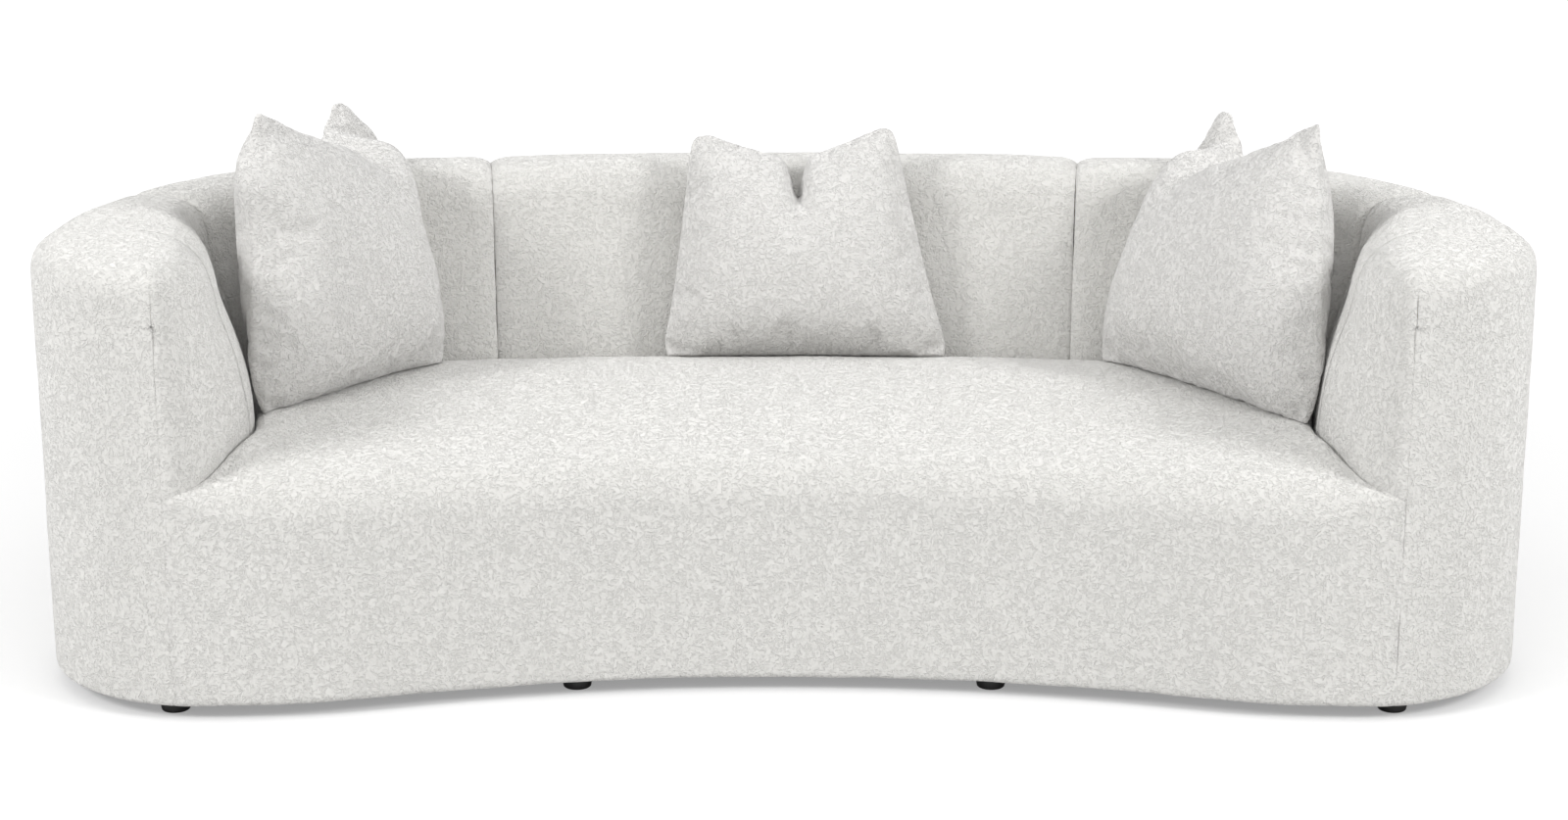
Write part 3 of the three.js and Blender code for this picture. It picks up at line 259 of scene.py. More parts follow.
# Deck cloth and dust cover.
# Two sheets of black non-woven cloth, spot-bonded in a fine grid of dimples: one stapled over the springs under
# the foam, one stapled under the base ring. Each is pulled flat, and waves a little between its staples.
black_cloth, tree, shader = new_material("black non-woven cloth")
where = linked(tree, "ShaderNodeTexCoord", {}).outputs["Object"]
spots = linked(tree, "ShaderNodeTexVoronoi", {"Vector": where, "Scale": 380.0, "Randomness": 0.25})
fibres = linked(tree, "ShaderNodeTexNoise", {"Vector": where, "Scale": 900.0, "Detail": 4.0, "Distortion": 1.2})
raised = linked(tree, "ShaderNodeMath", {0: spots.outputs["Distance"], 1: fibres.outputs["Fac"]}, operation="ADD")
give(tree, shader, {
    "Base Color": blended(tree, fibres.outputs["Fac"], (0.006, 0.006, 0.007, 1.0), (0.03, 0.03, 0.032, 1.0)),
    "Roughness": 0.93, "Normal": relief(tree, raised.outputs[0], 0.5, 0.0004),
})
sheet_thickness = 0.0008
held_near_staples = 0.12
weld = 0.00001


def solid_copy(node):
    """A bmesh of a node's solid, with its doubled corners joined."""
    shape = bmesh.new()
    shape.from_mesh(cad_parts[node].data)
    bmesh.ops.remove_doubles(shape, verts=shape.verts, dist=weld)
    return shape


def thickened(piece, thickness):
    """Gives a cloth its thickness, on the inner side."""
    thick = piece.modifiers.new("thickness", "SOLIDIFY")
    thick.thickness = thickness
    thick.offset = -1.0


for node, cuts, wave, resting in (
    ("deck_cloth", (40, 22), 0.0004, "seat_ring"),
    ("dust_cover", (52, 26), -0.0012, "bottom_ring"),
):
    low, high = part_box(node)
    shape = solid_copy(node)
    bmesh.ops.delete(shape, geom=[face for face in shape.faces if face.normal.z < 0.5], context="FACES")
    for axis, count in enumerate(cuts):
        across = Vector((axis == 0, axis == 1, 0))
        for step in range(1, count):
            place = low.lerp(high, step / count)
            everything = shape.verts[:] + shape.edges[:] + shape.faces[:]
            bmesh.ops.bisect_plane(shape, geom=everything, plane_co=place, plane_no=across)
    area = sum(face.calc_area() for face in shape.faces)
    border = [vert.co.copy() for vert in shape.verts if vert.is_boundary]
    for vert in shape.verts:
        inside = min(min((vert.co - spot).length for spot in border[::6]) / held_near_staples, 1.0)
        vert.co.z += wave * inside * (0.6 + noise.noise(vert.co * 6.0))
    cloth = shaped(f"{node}_sheet", shape, black_cloth)
    thickened(cloth, sheet_thickness)
    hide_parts(node)
    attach(cloth, "sofa")

# Back webbing.
# Two elastic bands run round the back over the ribs and are stapled to each of them. They are woven of grey
# yarn with rubber along it, and show a close rib across.
webbing_weave, tree, shader = new_material("woven elastic")
where = linked(tree, "ShaderNodeTexCoord", {}).outputs["Object"]
yarns = linked(tree, "ShaderNodeTexWave", {
    "Vector": where, "Scale": 260.0, "Distortion": 1.5, "Detail": 2.0, "Detail Scale": 3.0,
}, bands_direction="Z").outputs["Fac"]
fuzz = linked(tree, "ShaderNodeTexNoise", {"Vector": where, "Scale": 700.0, "Detail": 3.0})
raised = linked(tree, "ShaderNodeMath", {0: yarns, 1: fuzz.outputs["Fac"]}, operation="ADD")
give(tree, shader, {
    "Base Color": blended(tree, yarns, (0.035, 0.035, 0.03, 1.0), (0.095, 0.095, 0.085, 1.0)),
    "Roughness": 0.9, "Normal": relief(tree, raised.outputs[0], 0.6, 0.0006),
})
for node in ("upper_back_webbing", "lower_back_webbing"):
    band = shaped(f"{node}_band", solid_copy(node), webbing_weave)
    soft_edge = band.modifiers.new("soft edge", "BEVEL")
    soft_edge.width = 0.0006
    soft_edge.segments = 2
    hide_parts(node)
    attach(band, "sofa")

# Foam.
# Cream polyurethane foam under all the boucle: a pad over each length of wall, the seat slab on its deck, and a
# thin layer down the front. Cut and glued, with soft rounded edges and open cells.
foam_cells, tree, shader = new_material("open-cell foam")
where = linked(tree, "ShaderNodeTexCoord", {}).outputs["Object"]
cells = linked(tree, "ShaderNodeTexVoronoi", {"Vector": where, "Scale": 700.0})
old = linked(tree, "ShaderNodeTexNoise", {"Vector": where, "Scale": 5.0, "Detail": 3.0})
give(tree, shader, {
    "Base Color": blended(tree, old.outputs["Fac"], (0.74, 0.65, 0.42, 1.0), (0.82, 0.75, 0.53, 1.0)),
    "Roughness": 0.95, "Specular IOR Level": 0.2, "Normal": relief(tree, cells.outputs["Distance"], 0.8, 0.0008),
})
for node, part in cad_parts.items():
    if [used.material.name for used in part.material_slots] != ["foam"]:
        continue
    shape = solid_copy(node)
    shape.normal_update()
    pad = shaped(f"{node}_pad", shape, foam_cells)
    rounding = pad.modifiers.new("cut pad", "REMESH")
    rounding.mode = "VOXEL"
    rounding.voxel_size = 0.006 if node == "apron_padding" else 0.01
    rounding.use_smooth_shade = True
    inward = pad.modifiers.new("inside the cloth", "DISPLACE")
    inward.mid_level = 0.0
    inward.strength = -0.0025
    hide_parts(node)
    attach(pad, "sofa")

# Boucle cloth.
# A woven cloth of curly looped yarn: clumps of loops a few millimetres across stand up from the ground, with
# shallow hollows between them, so the face is soft and grainy and has no direction. The hollows are painted a
# little darker than the loops, as painted shade in the pile.
boucle = new_group("boucle loops", (
    ("Loops per metre", "INPUT", "Float"), ("Painted shade", "INPUT", "Color"), ("Loop", "INPUT", "Color"),
    ("Color", "OUTPUT", "Color"), ("Height", "OUTPUT", "Float"),
))


def fill_boucle(tree):
    """Short curled ridges of two sizes over shallow hollows painted darker as shade, with a slow unevenness of the
    ground.
    """
    given, result = tree.nodes.new("NodeGroupInput"), tree.nodes.new("NodeGroupOutput")
    where = linked(tree, "ShaderNodeTexCoord", {}).outputs["Object"]

    def math_node(operation, *values):
        return linked(tree, "ShaderNodeMath", dict(enumerate(values)), operation=operation).outputs[0]

    def clouds(times, detail, distortion):
        scale = math_node("MULTIPLY", given.outputs["Loops per metre"], times)
        settings = {"Vector": where, "Scale": scale, "Detail": detail, "Distortion": distortion}
        return linked(tree, "ShaderNodeTexNoise", settings).outputs["Fac"]

    def clumps(times):
        limits = {"Value": clouds(times, 1.0, 1.2), "From Min": 0.4, "From Max": 0.6}
        return linked(tree, "ShaderNodeMapRange", limits, interpolation_type="SMOOTHERSTEP").outputs["Result"]

    loops = math_node("MAXIMUM", clumps(1.0), math_node("MULTIPLY", clumps(0.72), 0.7))
    give(tree, result, {
        "Color": blended(tree, loops, given.outputs["Painted shade"], given.outputs["Loop"]),
        "Height": math_node("MULTIPLY_ADD", clouds(0.25, 0.0, 0.0), 0.7, loops),
    })


fill_boucle(boucle)


def boucle_material(name, loops, relief_depth, loop_color, painted_shade_color):
    """Off-white boucle with its loops at the piece's own size, and painted shade in the hollows between them."""
    material, tree, shader = new_material(name)
    cloth = linked(tree, "ShaderNodeGroup", {}, node_tree=boucle)
    give(tree, cloth, {"Loops per metre": loops, "Loop": loop_color, "Painted shade": painted_shade_color})
    give(tree, shader, {
        "Base Color": cloth.outputs["Color"], "Normal": relief(tree, cloth.outputs["Height"], 1.0, relief_depth),
        "Roughness": 0.95, "Diffuse Roughness": 1.0, "Specular IOR Level": 0.12,
        "Sheen Weight": 0.1, "Sheen Roughness": 0.6,
    })
    return material


# The second colour is painted shade for the hollows of the pile, a little darker than the cloth itself.
off_white, off_white_painted_shade = (0.785, 0.777, 0.755, 1.0), (0.73, 0.722, 0.699, 1.0)
wall_boucle = boucle_material("boucle on the wall", 160.0, 0.0021, off_white, off_white_painted_shade)

# Wall panels.
# Five channels of boucle over foam, sewn to each other through the padding. Each is one cloth that runs from
# the outside seam over the roll and down the inner face; the arm panels also go round the nose of the arm,
# where a short dart takes up the fulness.
wall_top = 0.774
seat_level = 0.41
inner_foot, panel_foot = 0.393, 0.375
side_x, back_y, nose_y = 1.275, 0.59, -0.29
rear_radius, back_radius, nose_radius = 0.62, 4.8, 0.3
nose_seam_x = 1.02
back_seam, arm_panel = 0.584, 0.442
arm_blend = 0.42
arm_width, back_width = 0.35, 0.28
arm_outer_half, back_outer_half = 0.16, 0.12
outer_drop = 0.1
arm_inner_drop, back_inner_drop = 0.135, 0.115
nose_roll, back_roll, inner_roll = 0.36, 0.56, 0.85
outside_top, tuck_depth, tuck_reach = 0.674, 0.0006, 0.016
pile = 0.0015
cloth_thickness = 0.004
cloth_weld = 0.00002
back_turn = math.asin((side_x - rear_radius) / (back_radius - rear_radius))
rear_y = back_y - back_radius + (back_radius - rear_radius) * math.cos(back_turn)
side_run = rear_y - nose_y
rear_run = rear_radius * (math.pi / 2 - back_turn)
wall_run = side_run + rear_run + back_radius * back_turn
arm_seam = wall_run - arm_panel
nose_crown = Vector((side_x - arm_outer_half, nose_y))
nose_middle = Vector((side_x - nose_radius, nose_y))
nose_seam_turn = math.acos((nose_seam_x - nose_middle.x) / nose_radius)
nose_tip = nose_middle + nose_radius * Vector((math.cos(nose_seam_turn), -math.sin(nose_seam_turn)))
nose_arc = nose_seam_turn * nose_radius
inner_arm_x = side_x - arm_width
half_seam = 0.0002
seam_allowance = 0.008


def mix(low, high, share):
    return low + (high - low) * share


def eased(share):
    share = min(max(share, 0.0), 1.0)
    return share * share * (3.0 - 2.0 * share)


def wall_face(run):
    """Outer face of the right half wall, by the distance from the arm's end: a point and the way it faces."""
    if run <= side_run:
        return Vector((side_x, nose_y + run)), Vector((1.0, 0.0))
    if run <= side_run + rear_run:
        turn = (run - side_run) / rear_radius
        out = Vector((math.cos(turn), math.sin(turn)))
        return Vector((side_x - rear_radius, rear_y)) + rear_radius * out, out
    turn = math.pi / 2 - back_turn + (run - side_run - rear_run) / back_radius
    out = Vector((math.cos(turn), math.sin(turn)))
    return Vector((0.0, back_y - back_radius)) + back_radius * out, out


def wall_sizes(run):
    """Widths and drops of the wall's section, fuller at the arm than along the back."""
    share = eased(run / arm_blend)
    outer = {
        "half": mix(arm_outer_half, back_outer_half, share),
        "lean": 0.0,
        "drop": outer_drop,
        "square": 2.0 / mix(nose_roll, back_roll, share),
    }
    half = mix(arm_width, back_width, share) - outer["half"]
    inner = {
        "half": half,
        "lean": half - mix(0.14, 0.08, share),
        "drop": mix(arm_inner_drop, back_inner_drop, share),
        "bulge": mix(2.0, 1.15, share),
        "square": 2.0 / inner_roll,
    }
    return outer, inner


def crown_dip(from_middle):
    """The crown is a little lower along the back than at the arms, and sinks towards the seams."""
    from_seam = min(abs(abs(from_middle) - arm_seam), abs(abs(from_middle) - back_seam))
    towards_back = 0.008 * eased((wall_run - abs(from_middle)) / arm_blend)
    return towards_back + 0.003 * max(0.0, 1.0 - from_seam / 0.32) ** 2


def seam_groove(distance, height):
    """How deep the seam pulls the cloth in: a rounded shoulder, a narrow pinch, and small puckers."""
    shoulder = 0.0085 * max(0.0, 1.0 - distance / 0.038) ** 2
    pinch = 0.003 * math.exp(-distance / 0.003)
    uneven = 3.0 * noise.noise(Vector((height * 30.0, 0.0, 0.0)))
    pucker = 0.0011 * math.exp(-distance / 0.03) * math.sin(height * 150.0 + uneven)
    return shoulder + pinch + pucker


def half_section(sizes, dip, inset, foot):
    """One side of the wall's section from the crown down: pairs of distance from the crown line and height."""
    width = sizes["half"] - sizes["lean"]
    roll_end = wall_top - sizes["drop"]
    roll_steps, face_steps, first_smoothed, smoothings = 20, 26, 14, 8
    edge_support = 0.0012
    square = sizes["square"]
    line = []
    for step in range(roll_steps + 1):
        turn = step / roll_steps * math.pi / 2
        reach = (math.sin(turn) ** square + math.cos(turn) ** square) ** (-1.0 / square)
        line.append([width * math.sin(turn) * reach, roll_end + (sizes["drop"] - dip) * math.cos(turn) * reach])
    if not foot:
        line.insert(-1, [width, roll_end + edge_support])
        line.append([width - seam_allowance, roll_end])
    else:
        for step in range(1, face_steps + 1):
            share = step / face_steps
            leaned = width + sizes["lean"] * (1.0 - (1.0 - share) ** sizes["bulge"])
            line.append([leaned, mix(roll_end, seat_level, share)])
        line.append([sizes["half"], inner_foot])
        line.append([sizes["half"], panel_foot])
        for _ in range(smoothings):
            for i in range(first_smoothed, len(line) - 2):
                line[i] = [(line[i - 1][k] + 2.0 * line[i][k] + line[i + 1][k]) / 4.0 for k in (0, 1)]
    pulled = []
    for i, (across, height) in enumerate(line):
        before, after = line[max(i - 1, 0)], line[min(i + 1, len(line) - 1)]
        along = Vector((after[0] - before[0], after[1] - before[1])).normalized()
        depth = inset(height) - pile
        pulled.append((across + along.y * depth, height - along.x * depth))
    return pulled


def lay_cloth(shape, lines):
    """Adds a flat cloth, cut as a grid, and lays it over the padding: each line is one row of threads across it."""
    columns, rows = len(lines) - 1, len(lines[0]) - 1
    laid = bmesh.ops.create_grid(shape, x_segments=columns, y_segments=rows, size=0.5)
    for vert in laid["verts"]:
        vert.co = lines[round((vert.co.x + 0.5) * columns)][round((vert.co.y + 0.5) * rows)]


def finish_cloth(name, shape, material, facing, uneven=0.0016):
    """Joins the cloths of a piece, turns them face out, and gives them the slight unevenness of soft padding."""
    bmesh.ops.remove_doubles(shape, verts=shape.verts, dist=cloth_weld)
    bmesh.ops.recalc_face_normals(shape, faces=shape.faces)
    outmost = max(shape.faces, key=lambda face: face.calc_center_median().dot(facing))
    if outmost.normal.dot(facing) < 0:
        bmesh.ops.reverse_faces(shape, faces=shape.faces)
    shape.normal_update()
    rise = {v: uneven * (noise.noise(v.co * 7.0) + 0.5 * noise.noise(v.co * 17.0)) for v in shape.verts}
    for vert, height in rise.items():
        vert.co += vert.normal * height
    piece = shaped(name, shape, material)
    thickened(piece, cloth_thickness)
    return piece


def station_line(from_middle, distance, turned_in=0.0):
    """One line of a panel over the wall, from the outside seam to the foot of the inner face."""
    run = wall_run - abs(from_middle)
    edge, out = wall_face(run)
    outer, inner = wall_sizes(run)
    crown = edge - out * outer["half"]
    if from_middle < 0:
        crown, out = Vector((-crown.x, crown.y)), Vector((-out.x, out.y))
    dip = crown_dip(from_middle)

    def pulled(height):
        return seam_groove(distance, height) + turned_in

    def pulled_outside(height):
        fading = mix(0.2, 1.0, eased((height - 0.68) / 0.06))
        return seam_groove(distance, height) * fading + turned_in + outside_tuck(height)

    outer_line = half_section(outer, dip, pulled_outside, False)
    inner_line = half_section(inner, dip, pulled, True)
    line = [(crown + out * across, height) for across, height in reversed(outer_line)]
    line += [(crown - out * across, height) for across, height in inner_line[1:]]
    return [Vector((spot.x, spot.y, height)) for spot, height in line]


def outside_tuck(height):
    """The panels and the outside cloth are drawn in where they meet under the roll."""
    return tuck_depth * max(0.0, 1.0 - abs(height - outside_top) / tuck_reach) ** 2


def clustered(count, both):
    """Shares from 0 to 1 that crowd towards the seams, where the cloth bends most."""
    crowding = 0.9
    for i in range(count + 1):
        share = i / count
        if both:
            yield share - crowding * math.sin(2 * math.pi * share) / (2 * math.pi)
        else:
            yield share - crowding * math.sin(math.pi * share) / math.pi * (1.0 - share)


def nose_line(side, edge, sizes, foot, tuck):
    """One line of an arm panel from the end of the crown over the nose, towards a point of its plan."""
    direction = (edge - nose_crown).normalized()
    line = half_section({**sizes, "half": (edge - nose_crown).length}, 0.0, tuck, foot)
    spots = [(nose_crown + direction * across, height) for across, height in line]
    return [Vector((side * spot.x, spot.y, height)) for spot, height in spots]


def nose_outer(side, share):
    """A line over the outer half of the nose, from its seam to the side of the arm."""
    turn = -share * nose_seam_turn
    edge = nose_middle + nose_radius * Vector((math.cos(turn), math.sin(turn)))
    sizes = {"lean": 0.0, "drop": outer_drop, "square": 2.0 / nose_roll}
    gone = (1.0 - share) * nose_seam_turn * nose_radius
    return nose_line(side, edge, sizes, False, lambda height: dart(gone, height) + outside_tuck(height))


def nose_inner_edge(turn):
    """The inner half of the nose in plan, an oval from the side of the arm to the seam."""
    across, forward = nose_seam_x - inner_arm_x, nose_y - nose_tip.y
    return Vector((nose_seam_x - across * math.cos(turn), nose_y - forward * math.sin(turn)))


def nose_inner(side, share):
    """A line over the inner half of the nose, which swells a little beside the seam."""
    edge = nose_inner_edge((1.0 - share) * math.pi / 2)
    along = nose_seam_x - edge.x
    edge.y -= 0.151 * along * math.exp(-along / 0.025)
    sizes = {
        "lean": 0.05 * share,
        "drop": mix(outer_drop, arm_inner_drop, share),
        "bulge": 2.0,
        "square": 2.0 / mix(nose_roll, inner_roll, share),
    }
    gone = (edge - nose_tip).length
    return nose_line(side, edge, sizes, True, lambda height: dart(gone, height))


def dart(distance, height):
    """The dart and the seam below it, down the front of the nose."""
    strength = eased((0.76 - height) / 0.06) * (1.0 - 0.6 * eased((0.66 - height) / 0.05))
    return strength * (0.0035 * max(0.0, 1.0 - distance / 0.03) ** 2 + 0.002 * math.exp(-distance / 0.003))


def make_panel(name, start, end, round_nose):
    """One channel panel between two places along the wall, with the nose of the arm at its end if it has one."""
    shape = bmesh.new()
    thread_spacing = 0.0105
    length = abs(end - start)
    count = round(length / thread_spacing)
    lines = []
    for share in clustered(count, not round_nose):
        distance = share * length if round_nose else min(share, 1.0 - share) * length
        lines.append(station_line(mix(start, end, share), distance))
    lines.insert(0, station_line(start, 0.0, seam_allowance))
    if not round_nose:
        lines.append(station_line(end, 0.0, seam_allowance))
    lay_cloth(shape, lines)
    if round_nose:
        side = 1.0 if start > 0 else -1.0
        outer_fan = [nose_outer(side, 1.0 - share) for share in clustered(44, False)]
        lay_cloth(shape, outer_fan)
        inner_fan = [nose_inner(side, share) for share in clustered(36, False)]
        lay_cloth(shape, inner_fan)
    piece = finish_cloth(f"{name}_panel", shape, wall_boucle, Vector((0.0, 0.0, 1.0)))
    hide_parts(f"{name}_cover")
    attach(piece, "sofa")


for panel_name, panel_start, panel_end, round_nose in (
    ("center_back", -back_seam + half_seam, back_seam - half_seam, False),
    ("right_back", back_seam + half_seam, arm_seam - half_seam, False),
    ("left_back", -back_seam - half_seam, -arm_seam + half_seam, False),
    ("right_arm", arm_seam + half_seam, wall_run, True),
    ("left_arm", -arm_seam - half_seam, -wall_run, True),
):
    make_panel(panel_name, panel_start, panel_end, round_nose)

# Outside covers.
# Boucle stretched over the bent board, in three lengths: one round each arm, and one along the back. They
# hang from the seam under the roll and are turned in round the hem.
hem, hem_radius, hem_inset = 0.0245, 0.012, 0.02
hem_turns = (0.4, 0.8, 1.2, 1.57)
outside_uneven = 0.0012


def outside_profile():
    """Inset and height down the cloth, from the seam under the roll to the edge that is turned in."""
    face_steps = 44
    profile = [(0.0078, 0.689), (0.0074, 0.6765)]
    for drop in (0.0, 0.001, 0.003, 0.006, 0.01, tuck_reach):
        profile.append((outside_tuck(outside_top - drop), outside_top - drop))
    for step in range(1, face_steps + 1):
        profile.append((0.0, mix(outside_top - tuck_reach, hem + hem_radius, step / face_steps)))
    for turn in hem_turns:
        profile.append((hem_radius * (1.0 - math.cos(turn)), hem + hem_radius * (1.0 - math.sin(turn))))
    return profile + [(hem_inset, hem)]


def outside_line(edge, out, side, tuck):
    """One line down an outside cover at a place on the wall's face, drawn in by a tuck."""
    inset_line = [(edge - out * (inset + tuck - pile), height) for inset, height in outside_profile()]
    return [Vector((side * spot.x, spot.y, height)) for spot, height in inset_line]


def seam_tuck(distance):
    """How deep the cloth is drawn in beside an upright seam."""
    return 0.0009 * max(0.0, 1.0 - distance / 0.018) ** 2 + 0.0009 * math.exp(-distance / 0.0022)


def outside_place(distance):
    """A place on the outer face by its distance from the nose seam: a point and the way it faces."""
    if distance >= nose_arc:
        return wall_face(distance - nose_arc)
    turn = distance / nose_radius - nose_seam_turn
    out = Vector((math.cos(turn), math.sin(turn)))
    return nose_middle + nose_radius * out, out


def make_outside_cover(name, lines, facing):
    """An outside cover from its lines of thread."""
    shape = bmesh.new()
    lay_cloth(shape, lines)
    cover = finish_cloth(f"{name}_cloth", shape, wall_boucle, facing, outside_uneven)
    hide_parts(name)
    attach(cover, "sofa")


arm_length = nose_arc + wall_run - arm_seam
for outside_name, side in (("right_outside_cover", 1.0), ("left_outside_cover", -1.0)):
    lines = []
    for share in clustered(96, True):
        distance = half_seam + share * (arm_length - 2 * half_seam)
        edge, out = outside_place(distance)
        lines.append(outside_line(edge, out, side, seam_tuck(min(distance, arm_length - distance))))
    first, last = [outside_place(distance) for distance in (half_seam, arm_length - half_seam)]
    lines.insert(0, outside_line(*first, side, seam_allowance))
    lines.append(outside_line(*last, side, seam_allowance))
    make_outside_cover(outside_name, lines, Vector((side, 0.0, 0.0)))

lines = []
for share in clustered(220, True):
    from_middle = mix(-arm_seam + half_seam, arm_seam - half_seam, share)
    edge, out = wall_face(wall_run - abs(from_middle))
    side = -1.0 if from_middle < 0 else 1.0
    lines.append(outside_line(edge, out, side, seam_tuck(arm_seam - abs(from_middle))))
edge, out = wall_face(wall_run - arm_seam + half_seam)
lines.insert(0, outside_line(edge, out, -1.0, seam_allowance))
lines.append(outside_line(edge, out, 1.0, seam_allowance))
make_outside_cover("back_outside_cover", lines, Vector((0.0, 1.0, 0.0)))

# Seat.
# A tight seat: one boucle cloth over a crowned foam slab, from the foot of the walls over the soft front edge
# and straight down the front to the hem, between the seams of the two noses.
hollow_radius, lobe_radius = 2.4, 1.0
front_y = -0.59
lobe_x = side_x - nose_radius
lobe_turn = math.asin(lobe_x / (hollow_radius + lobe_radius))
hollow_y = front_y + lobe_radius - (hollow_radius + lobe_radius) * math.cos(lobe_turn)
crown_height, front_roll, wall_drop = 0.024, 0.085, 0.018
cloth_behind_wall, wall_clearance = 0.336, 0.001
seat_boucle = boucle_material("boucle on the seat", 152.0, 0.0023, off_white, off_white_painted_shade)


def front_point(x, inset):
    """The bowed front of the seat, drawn in by an inset."""
    reach = abs(x)
    if reach <= (hollow_radius + inset) * math.sin(lobe_turn):
        return Vector((x, hollow_y + math.sqrt((hollow_radius + inset) ** 2 - reach ** 2)))
    if reach <= lobe_x:
        return Vector((x, front_y + lobe_radius - math.sqrt((lobe_radius - inset) ** 2 - (reach - lobe_x) ** 2)))
    return Vector((x, nose_y - math.sqrt((nose_radius - inset) ** 2 - (reach - lobe_x) ** 2)))


def wall_foot_points():
    """The foot of the walls beside the seat, from the nose to the middle of the back, at even steps."""
    points = []
    nose_steps, wall_steps = 60, 200
    for step in range(nose_steps):
        edge = nose_inner_edge((1.0 - mix(0.2, 1.0, step / nose_steps)) * math.pi / 2)
        away = (edge - nose_crown).normalized()
        points.append(edge + away * wall_clearance)
    for step in range(wall_steps + 1):
        run = wall_run * step / wall_steps
        edge, out = wall_face(run)
        outer, inner = wall_sizes(run)
        points.append(edge - out * (outer["half"] + inner["half"] + wall_clearance))
    return points


def even_line(points, count):
    """The same line with its points at even distances."""
    reached = [0.0]
    for before, after in zip(points, points[1:]):
        reached.append(reached[-1] + (after - before).length)
    line, i = [], 0
    for step in range(count + 1):
        goal = reached[-1] * step / count
        while i < len(points) - 2 and reached[i + 1] < goal:
            i += 1
        share = (goal - reached[i]) / max(reached[i + 1] - reached[i], 1e-9)
        line.append(points[i].lerp(points[i + 1], min(share, 1.0)))
    return line


def seat_line(foot, front_x, tuck):
    """One line of the seat's cloth from behind the wall's foot over the crown and the front edge to the hem."""
    front = front_point(front_x, tuck - pile)
    length = (front - foot).length
    share = eased(length / 0.26)
    crown_steps, roll_steps, face_steps = 52, 16, 30
    edge = seat_level - wall_drop * (1.0 - share) - tuck
    run = min(front_roll, length / 2)
    drop = mix(0.008, 0.07, share)
    start = front.lerp(foot, run / length)
    line = [Vector((foot.x, foot.y, cloth_behind_wall)), Vector((foot.x, foot.y, edge - 0.008))]
    for step in range(1, crown_steps + 1):
        along = step / crown_steps
        spot = foot.lerp(start, along)
        crown = math.sin(math.pi * along ** 0.8) * crown_height * share
        edge_round = 0.006 * math.exp(-along * length / 0.012)
        line.append(Vector((spot.x, spot.y, edge + crown - edge_round)))
    for step in range(1, roll_steps + 1):
        turn = step / roll_steps * math.pi / 2
        spot = start.lerp(front, math.sin(turn))
        line.append(Vector((spot.x, spot.y, edge - drop * (1.0 - math.cos(turn)))))
    inward = (front_point(front_x, 0.01) - front_point(front_x, 0.0)).normalized()
    for step in range(1, face_steps + 1):
        line.append(Vector((front.x, front.y, mix(edge - drop, hem + hem_radius, step / face_steps))))
    for turn in hem_turns:
        spot = front + inward * hem_radius * (1.0 - math.cos(turn))
        line.append(Vector((spot.x, spot.y, hem + hem_radius * (1.0 - math.sin(turn)))))
    spot = front + inward * hem_inset
    line.append(Vector((spot.x, spot.y, hem)))
    return line


half_count = 104
feet_line = even_line(wall_foot_points(), half_count)
right_half = []
for i, foot in enumerate(feet_line):
    front_x = (nose_seam_x - half_seam) * (1.0 - i / half_count)
    right_half.append(seat_line(foot, front_x, seam_tuck(nose_seam_x - front_x)))
right_half.insert(0, seat_line(feet_line[0], nose_seam_x - half_seam, seam_allowance))
left_half = [[Vector((-p.x, p.y, p.z)) for p in line] for line in reversed(right_half[:-1])]
shape = bmesh.new()
lay_cloth(shape, right_half + left_half)
seat = finish_cloth("seat_cloth", shape, seat_boucle, Vector((0.0, 0.0, 1.0)), 0.0018)
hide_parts("seat_cover")
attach(seat, "sofa")

# Feet.
# Eight low turned feet of black lacquered wood that widen to the top, each on a bolt into the base ring.
foot_black, tree, shader = new_material("black lacquered wood")
where = linked(tree, "ShaderNodeTexCoord", {}).outputs["Object"]
stretch = linked(tree, "ShaderNodeMapping", {"Vector": where, "Scale": (60.0, 60.0, 14.0)})
grain = linked(tree, "ShaderNodeTexNoise", {"Vector": stretch.outputs["Vector"]}).outputs["Fac"]
tone = linked(tree, "ShaderNodeMapRange", {"Value": grain, "To Min": 0.32, "To Max": 0.5})
give(tree, shader, {
    "Base Color": blended(tree, grain, (0.012, 0.012, 0.013, 1.0), (0.03, 0.029, 0.028, 1.0)),
    "Roughness": tone.outputs["Result"],
})

foot_outline = [
    (0.0, 0.0), (0.0225, 0.0), (0.0238, 0.0012), (0.0242, 0.003), (0.0278, 0.0222), (0.0274, 0.0236), (0.026, 0.024),
    (0.004, 0.024), (0.004, 0.0496), (0.0, 0.0496),
]
for depth in ("front", "back"):
    for reach in ("inner", "outer"):
        for hand in ("right", "left"):
            node = f"{hand}_{depth}_{reach}_foot"
            low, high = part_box(node)
            shape = bmesh.new()
            line = [shape.verts.new((radius, 0.0, height)) for radius, height in foot_outline]
            edges = [shape.edges.new(pair) for pair in zip(line, line[1:])]
            bmesh.ops.spin(
                shape, geom=line + edges, cent=(0, 0, 0), axis=(0, 0, 1), angle=2 * math.pi, steps=48, use_merge=True
            )
            bmesh.ops.remove_doubles(shape, verts=shape.verts, dist=weld)
            bmesh.ops.recalc_face_normals(shape, faces=shape.faces)
            bmesh.ops.translate(shape, verts=shape.verts, vec=((low.x + high.x) / 2, (low.y + high.y) / 2, 0.0))
            foot = shaped(f"{node}_turned", shape, foot_black)
            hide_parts(node)
            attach(foot, "sofa")
